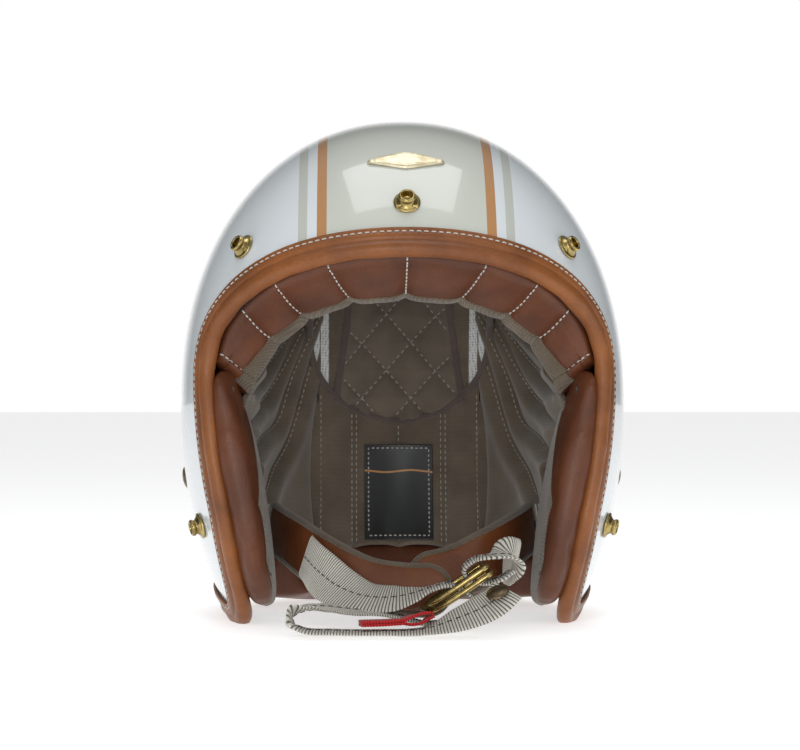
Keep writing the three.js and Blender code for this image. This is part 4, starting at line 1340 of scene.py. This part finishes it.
def ribbon_frame(stations, step):
    """Centres, width directions, face directions and distances along a strap's stations."""
    lifted = [(*lift(s[:3]), *s[3:]) for s in stations]
    fine = np.hstack([centripetal([s[:3] for s in lifted], 900), centripetal([s[3:] for s in lifted], 900)])
    even, at = resample(fine[:, :3], step)
    gone = np.concatenate([[0], np.cumsum(np.linalg.norm(np.diff(fine[:, :3], axis=0), axis=1))])
    lean = np.stack([np.interp(at, gone, fine[:, k]) for k in (3, 4, 5)], 1)
    along = np.gradient(even, axis=0)
    along /= np.linalg.norm(along, axis=1)[:, None]
    side = lean - along * np.sum(lean * along, axis=1)[:, None]
    side /= np.linalg.norm(side, axis=1)[:, None]
    return even, side, np.cross(side, along), at


RIB_PITCH = 1.55
RIB_HEIGHT = 0.2


def both_faces(count):
    """Places from edge to edge and back, from -1 to 1, and the face that each is on."""
    there = np.linspace(-1, 1, count)
    return np.concatenate([there, -there]), np.repeat([1.0, -1.0], count)


def loft(name, line, across, offset, material, spread):
    """A closed strip along a line. Its UV map holds metres along it and spread across it."""
    centre, side, face, at = line
    across, offset = np.broadcast_arrays(across, offset)
    points = centre[:, None] + side[:, None] * across[..., None] + face[:, None] * offset[..., None]
    uv = np.stack(np.broadcast_arrays(at[:, None], spread), -1) * MM
    return face_out(mesh_object(name, points.reshape(-1, 3), capped_faces(*across.shape), material,
                                uvs=uv.reshape(-1, 2)))


def tape(name, stations, width, thickness, material):
    """Woven tape with raised cross ribs and rounded edges."""
    line = ribbon_frame(stations, RIB_PITCH / 5)
    across, top = both_faces(15)
    round_edge = np.sqrt(np.clip(1 - np.abs(across) ** 8, 0.02, 1))
    wave = np.sin(2 * math.pi * line[3] / RIB_PITCH)[:, None]
    half = thickness / 2 - RIB_HEIGHT * 0.5
    thick = (half + RIB_HEIGHT * wave) * round_edge * top
    wide = across * (width / 2 + 0.1 * wave)
    return loft(name, line, wide, thick, material, width / 2 * across), line


def centre_stitch(name, line, thickness, material, body, start=0.0):
    """Stitching along the middle of a tape, on both of its faces."""
    centre, _, face, at = line
    keep = at >= start
    for way, tag in ((1, "a"), (-1, "b")):
        points = centre[keep] + face[keep] * (thickness / 2 + 0.02) * way
        ride(stitches(f"{name}_{tag}", points, face[keep] * way, material, 3.4, 1.4, 0.26), body)


long_tape, long_line = tape("webbing_long", LONG_WEBBING, 24, 2.0, TAPE)
ride(long_tape, "chin_strap", ["strap_webbing_long"])
centre_stitch("webbing_long_stitches", long_line, 2.0, BLACK_THREAD, "chin_strap")
short_tape, short_line = tape("webbing_short", SHORT_WEBBING, 24, 2.0, TAPE)
ride(short_tape, "chin_strap", ["strap_webbing_short"])
centre_stitch("webbing_short_stitches", short_line, 2.0, BLACK_THREAD, "chin_strap", 30)

for way, name in ((1, "left"), (-1, "right")):
    stations = [(x * way, y, z, a * way, b, c) for x, y, z, a, b, c in ROOT]
    root, _ = tape(f"root_tape_{name}", stations, 26, 3.0, TAPE)
    ride(root, "helmet", [f"strap_root_{name}"])


def sleeve(name, stations, node):
    """A leather strap cover: soft leather on both faces, bound along its edges and round its end."""
    width, thickness, binding = 28.0, 4.4, 1.9
    line = ribbon_frame(stations, 1.2)
    centre, side, face, at = line
    reach = at[-1] - at
    half = np.full_like(at, width / 2 - binding * 0.6)
    corner = 12.0
    near = reach < corner
    half[near] -= corner - np.sqrt(np.maximum(corner ** 2 - (corner - reach[near]) ** 2, 0))
    across, top = both_faces(21)
    crown = 0.45 + 0.55 * np.sqrt(np.clip(1 - np.abs(across) ** 4, 0, 1))
    piece = loft(name, line, across * half[:, None], 0.5 * thickness * crown * top, SLEEVE_LEATHER, across)
    ride(piece, "chin_strap", [node])
    upper = centre + side * half[:, None]
    lower = centre - side * half[:, None]
    outline, normals = np.vstack([upper, lower[::-1]]), np.vstack([face, face[::-1]])
    edge = resample(np.hstack([outline, normals]), 1.0)[0]
    ride(tube(f"{name}_binding", edge[:, :3], binding, BEIGE, 14, flat=1.15, ups=edge[:, 3:]), "chin_strap")


sleeve("sleeve_right", SLEEVE_RIGHT, "strap_sleeve_right")
sleeve("sleeve_left", SLEEVE_LEFT, "strap_sleeve_left")

# ---- D-rings ----


def ring_line(level):
    """Centre line of a D-ring: straight bar, two sides and an elliptical bow."""
    wide, long = RING_INSIDE
    half = wide / 2 + RING_WIRE / 2
    bow = long * 0.55
    start = long - bow
    corner = 2.2
    path = [(-half + corner, 0), (half - corner, 0)]
    path += [(half - corner + corner * math.sin(a), -corner + corner * math.cos(a))
             for a in np.linspace(0, math.pi / 2, 8)[1:]]
    path += [(half * math.cos(a), -start - (bow + RING_WIRE / 2) * math.sin(a))
             for a in np.linspace(0, math.pi, 60)]
    path += [(-half + corner - corner * math.cos(a), -corner + corner * math.sin(a))
             for a in np.linspace(0, math.pi / 2, 8)[:-1]]
    along = np.array([math.cos(RING_TILT), 0, math.sin(RING_TILT)])
    across = np.array([0.0, -1.0, 0.0])
    normal = np.cross(across, along)
    flat = resample(np.array(path + [path[0]]), 0.8)[0][:-1]
    points = RING_BAR + across * flat[:, :1] + along * flat[:, 1:] + normal * level
    return points, normal


for node, level in (("outer", 0.0), ("inner", RING_PITCH)):
    line, normal = ring_line(level)
    piece = tube(f"ring_{node}_wire", line, RING_WIRE / 2, BRASS, 20, True, RING_THICKNESS / RING_WIRE,
                 np.repeat(normal[None], len(line), 0))
    ride(piece, f"ring_{node}", [f"d_ring_{node}"])

# ---- Pull tab ----


def pull_tab():
    """A loop of red tape round the outer ring's bow, its plies sewn together."""
    line = ribbon_frame(RED_TAB, 0.35)
    at = line[3]
    swell = 0.8 + 1.5 * np.sin(np.clip(at / 16.0, 0, 1) * math.pi) * (at < 15.0)
    thick = (0.66 + 0.12 * np.sin(2 * math.pi * at / 1.5))[:, None]
    across, top = both_faces(9)
    for way in (1, -1):
        offset = swell[:, None] * way + thick * top
        ply = loft(f"tab_ply_{way + 1}", line, across * 4.8, offset, RED, across * 5)
        ride(ply, "tab", ["pull_tab"])


pull_tab()

# ---- Metal fittings ----

STUD_PROFILE = [
    (0, 0.3), (6.7, 0.3), (7.0, 0.55), (7.0, 0.95), (6.7, 1.3), (6.0, 1.5), (5.4, 1.8), (4.9, 2.3),
    (4.2, 2.9), (3.85, 3.4), (3.9, 3.9), (4.35, 4.5), (4.5, 5.0), (4.45, 5.5), (4.2, 6.0),
    (3.8, 6.35), (3.4, 6.4), (3.05, 6.3), (2.9, 6.0), (2.85, 5.2), (2.8, 2.4), (2.6, 2.1), (0, 2.0),
]


def on_shell(point):
    """A drawing point brought onto the shell, and the direction out of it."""
    base = on_layer(lift(point)[None], 0)[0]
    return base, normal_at(base[None])[0]


for name, point in STUD_POINTS.items():
    base, normal = on_shell(point)
    piece = lathe(f"snap_post_{name}", STUD_PROFILE, base, normal, BRASS, 56)
    ride(piece, "helmet", [f"stud_{name}"])

RIVET_PROFILE = [
    (0, 0.3), (5.6, 0.3), (6.0, 0.55), (6.0, 0.9), (5.6, 1.35), (4.8, 1.8), (3.6, 2.2), (2.2, 2.5),
    (1.0, 2.62), (0, 2.65),
]
for way, name in ((1, "left"), (-1, "right")):
    base, normal = on_shell((RIVET[0] * way, RIVET[1], RIVET[2]))
    ride(lathe(f"rivet_head_{name}", RIVET_PROFILE, base, normal, BRONZE), "helmet",
         [f"strap_rivet_{name}"])

SNAP_PROFILE = [
    (0, 1.4), (5.4, 1.4), (5.9, 1.7), (6.0, 2.1), (5.7, 2.6), (5.0, 2.95), (4.2, 3.05), (3.6, 3.35),
    (2.6, 3.6), (1.2, 3.72), (0, 3.75),
]
ride(lathe("tail_cap", SNAP_PROFILE, lift((46.2, -127.2, 16.2)), (-0.3, -0.45, 0.84), BRONZE), "chin_strap",
     ["tail_snap"])

# ---- Badge ----


def badge_piece():
    """A pointed oval plate with a raised rim, a thin ridge inside it in place of its beads, and a plain
    centre.
    """
    wide, high = BADGE_SIZE
    xs, ys = np.linspace(-0.5, 0.5, 121), np.linspace(-0.5, 0.5, 61)
    x, y = np.meshgrid(xs, ys, indexing="ij")
    taper = 1.03 - np.abs(2 * x) ** 1.3
    slope = -np.cross([1.0, 0, 0], on_shell(BADGE_CENTRE)[1])
    spot = lift(BADGE_CENTRE) + slope * (y * high * taper)[..., None] + np.array([wide, 0, 0]) * x[..., None]
    foot = on_layer(spot, 0)
    up = normal_at(foot)
    edge = np.minimum(0.5 - np.abs(y), (0.5 - np.abs(x)) * 1.6)
    rim = np.exp(-((edge - 0.09) / 0.035) ** 2) * 0.32
    inner = np.exp(-((edge - 0.2) / 0.02) ** 2) * 0.12
    lift_by = 0.4 + 1.05 * np.clip(edge / 0.05, 0, 1) ** 0.5 + rim + inner
    top = foot + up * lift_by[..., None]
    bottom = foot + up * 0.35
    rows, columns = x.shape
    points = np.vstack([top.reshape(-1, 3), bottom.reshape(-1, 3)])
    count = rows * columns
    faces = grid_faces(rows, columns)
    faces += [tuple(reversed([count + i for i in f])) for f in grid_faces(rows, columns)]
    border = ([i * columns for i in range(rows)] + [(rows - 1) * columns + j for j in range(1, columns)]
              + [i * columns + columns - 1 for i in range(rows - 2, -1, -1)]
              + list(range(columns - 2, 0, -1)))
    for a, b in zip(border, border[1:] + border[:1]):
        faces.append((a, b, count + b, count + a))
    return face_out(mesh_object("brow_plate", points, faces, PALE_BRASS))


ride(badge_piece(), "helmet", ["badge"])

# ---- Finishes of the CAD nodes that stay ----

FINISH = {"impact_foam": FOAM, "steel": STEEL, "plate_plastic": PLASTIC, "brass": BRASS}
replaced = {n for o in bpy.context.scene.objects for n in (o.get("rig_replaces") or [])}
for part in frame["record"]["subparts"]:
    if part["node"] not in replaced:
        node = frame["nodes"][part["node"]]
        node.data.materials.clear()
        node.data.materials.append(FINISH[part["material_slot"]])

# ---- Stage, light and camera ----


def floor_plane():
    """A pale floor that glows a little, as a lit studio table does."""
    made, main, _, _ = shader("floor_finish", (0.85, 0.85, 0.85), 0.9)
    main.inputs["Emission Color"].default_value = (1, 1, 1, 1)
    main.inputs["Emission Strength"].default_value = 0.6
    bpy.ops.mesh.primitive_plane_add(size=14)
    piece = bpy.context.object
    piece.name = "floor"
    piece.data.materials.append(made)


floor_plane()


def area(name, place, target, size, power, colour=(1, 1, 1)):
    """A soft rectangular lamp."""
    data = bpy.data.lights.new(name, "AREA")
    data.shape = "RECTANGLE"
    data.size, data.size_y = size
    data.energy = power
    data.color = colour
    light = bpy.data.objects.new(name, data)
    light.location = place
    light.rotation_euler = (Vector(target) - Vector(place)).to_track_quat("-Z", "Y").to_euler()
    bpy.context.scene.collection.objects.link(light)


area("front", (0.15, -2.2, 0.85), (0, 0, 0.12), (3.2, 1.6), 16)
area("low_front", (-0.2, -2.0, 0.2), (0, 0, 0.12), (0.5, 0.4), 5)
area("top", (0, 0.0, 1.7), (0, 0, 0.1), (1.1, 0.9), 6, (0.96, 0.98, 1))
area("left_strip", (-1.1, -0.9, 0.9), (0, 0, 0.16), (0.2, 1.1), 2)
area("right_strip", (1.1, -0.9, 0.9), (0, 0, 0.16), (0.2, 1.1), 2)

# The room is white behind and overhead and greyer at the sides, which keeps the shell's edges drawn.
world = bpy.data.worlds.new("studio")
bpy.context.scene.world = world
world.use_nodes = True
nodes, links = world.node_tree.nodes, world.node_tree.links
heading = nodes.new("ShaderNodeTexCoord").outputs["Generated"]
split = nodes.new("ShaderNodeSeparateXYZ")
links.new(heading, split.inputs[0])
behind = ramp(nodes, links, split.outputs["Y"], [(0.0, (0.1, 0.104, 0.108)), (0.88, (0.14, 0.145, 0.15)),
                                                 (0.972, (1.0, 1.0, 1.0))])
above = ramp(nodes, links, split.outputs["Z"], [(0.4, (0.0, 0.0, 0.0)), (0.95, (0.5, 0.5, 0.5))])
room = mix_colour(nodes, links, behind, above, "LIGHTEN")
links.new(room, nodes["Background"].inputs["Color"])
nodes["Background"].inputs["Strength"].default_value = 1.0
bpy.context.scene.view_settings.view_transform = "Standard"

CAMERA_DISTANCE, CAMERA_HEIGHT, CAMERA_AZIMUTH = 1.4, 0.1358, math.radians(-1.3)
camera = bpy.data.objects.new("camera", bpy.data.cameras.new("camera"))
bpy.context.scene.collection.objects.link(camera)
camera.location = (math.sin(CAMERA_AZIMUTH) * CAMERA_DISTANCE, -math.cos(CAMERA_AZIMUTH) * CAMERA_DISTANCE,
                   CAMERA_HEIGHT)
camera.rotation_euler = (math.pi / 2, 0, CAMERA_AZIMUTH)
camera.data.lens = 112.7
camera.data.sensor_width = 36
camera.data.shift_x = -0.0027
camera.data.shift_y = -0.0042
bpy.context.scene.camera = camera
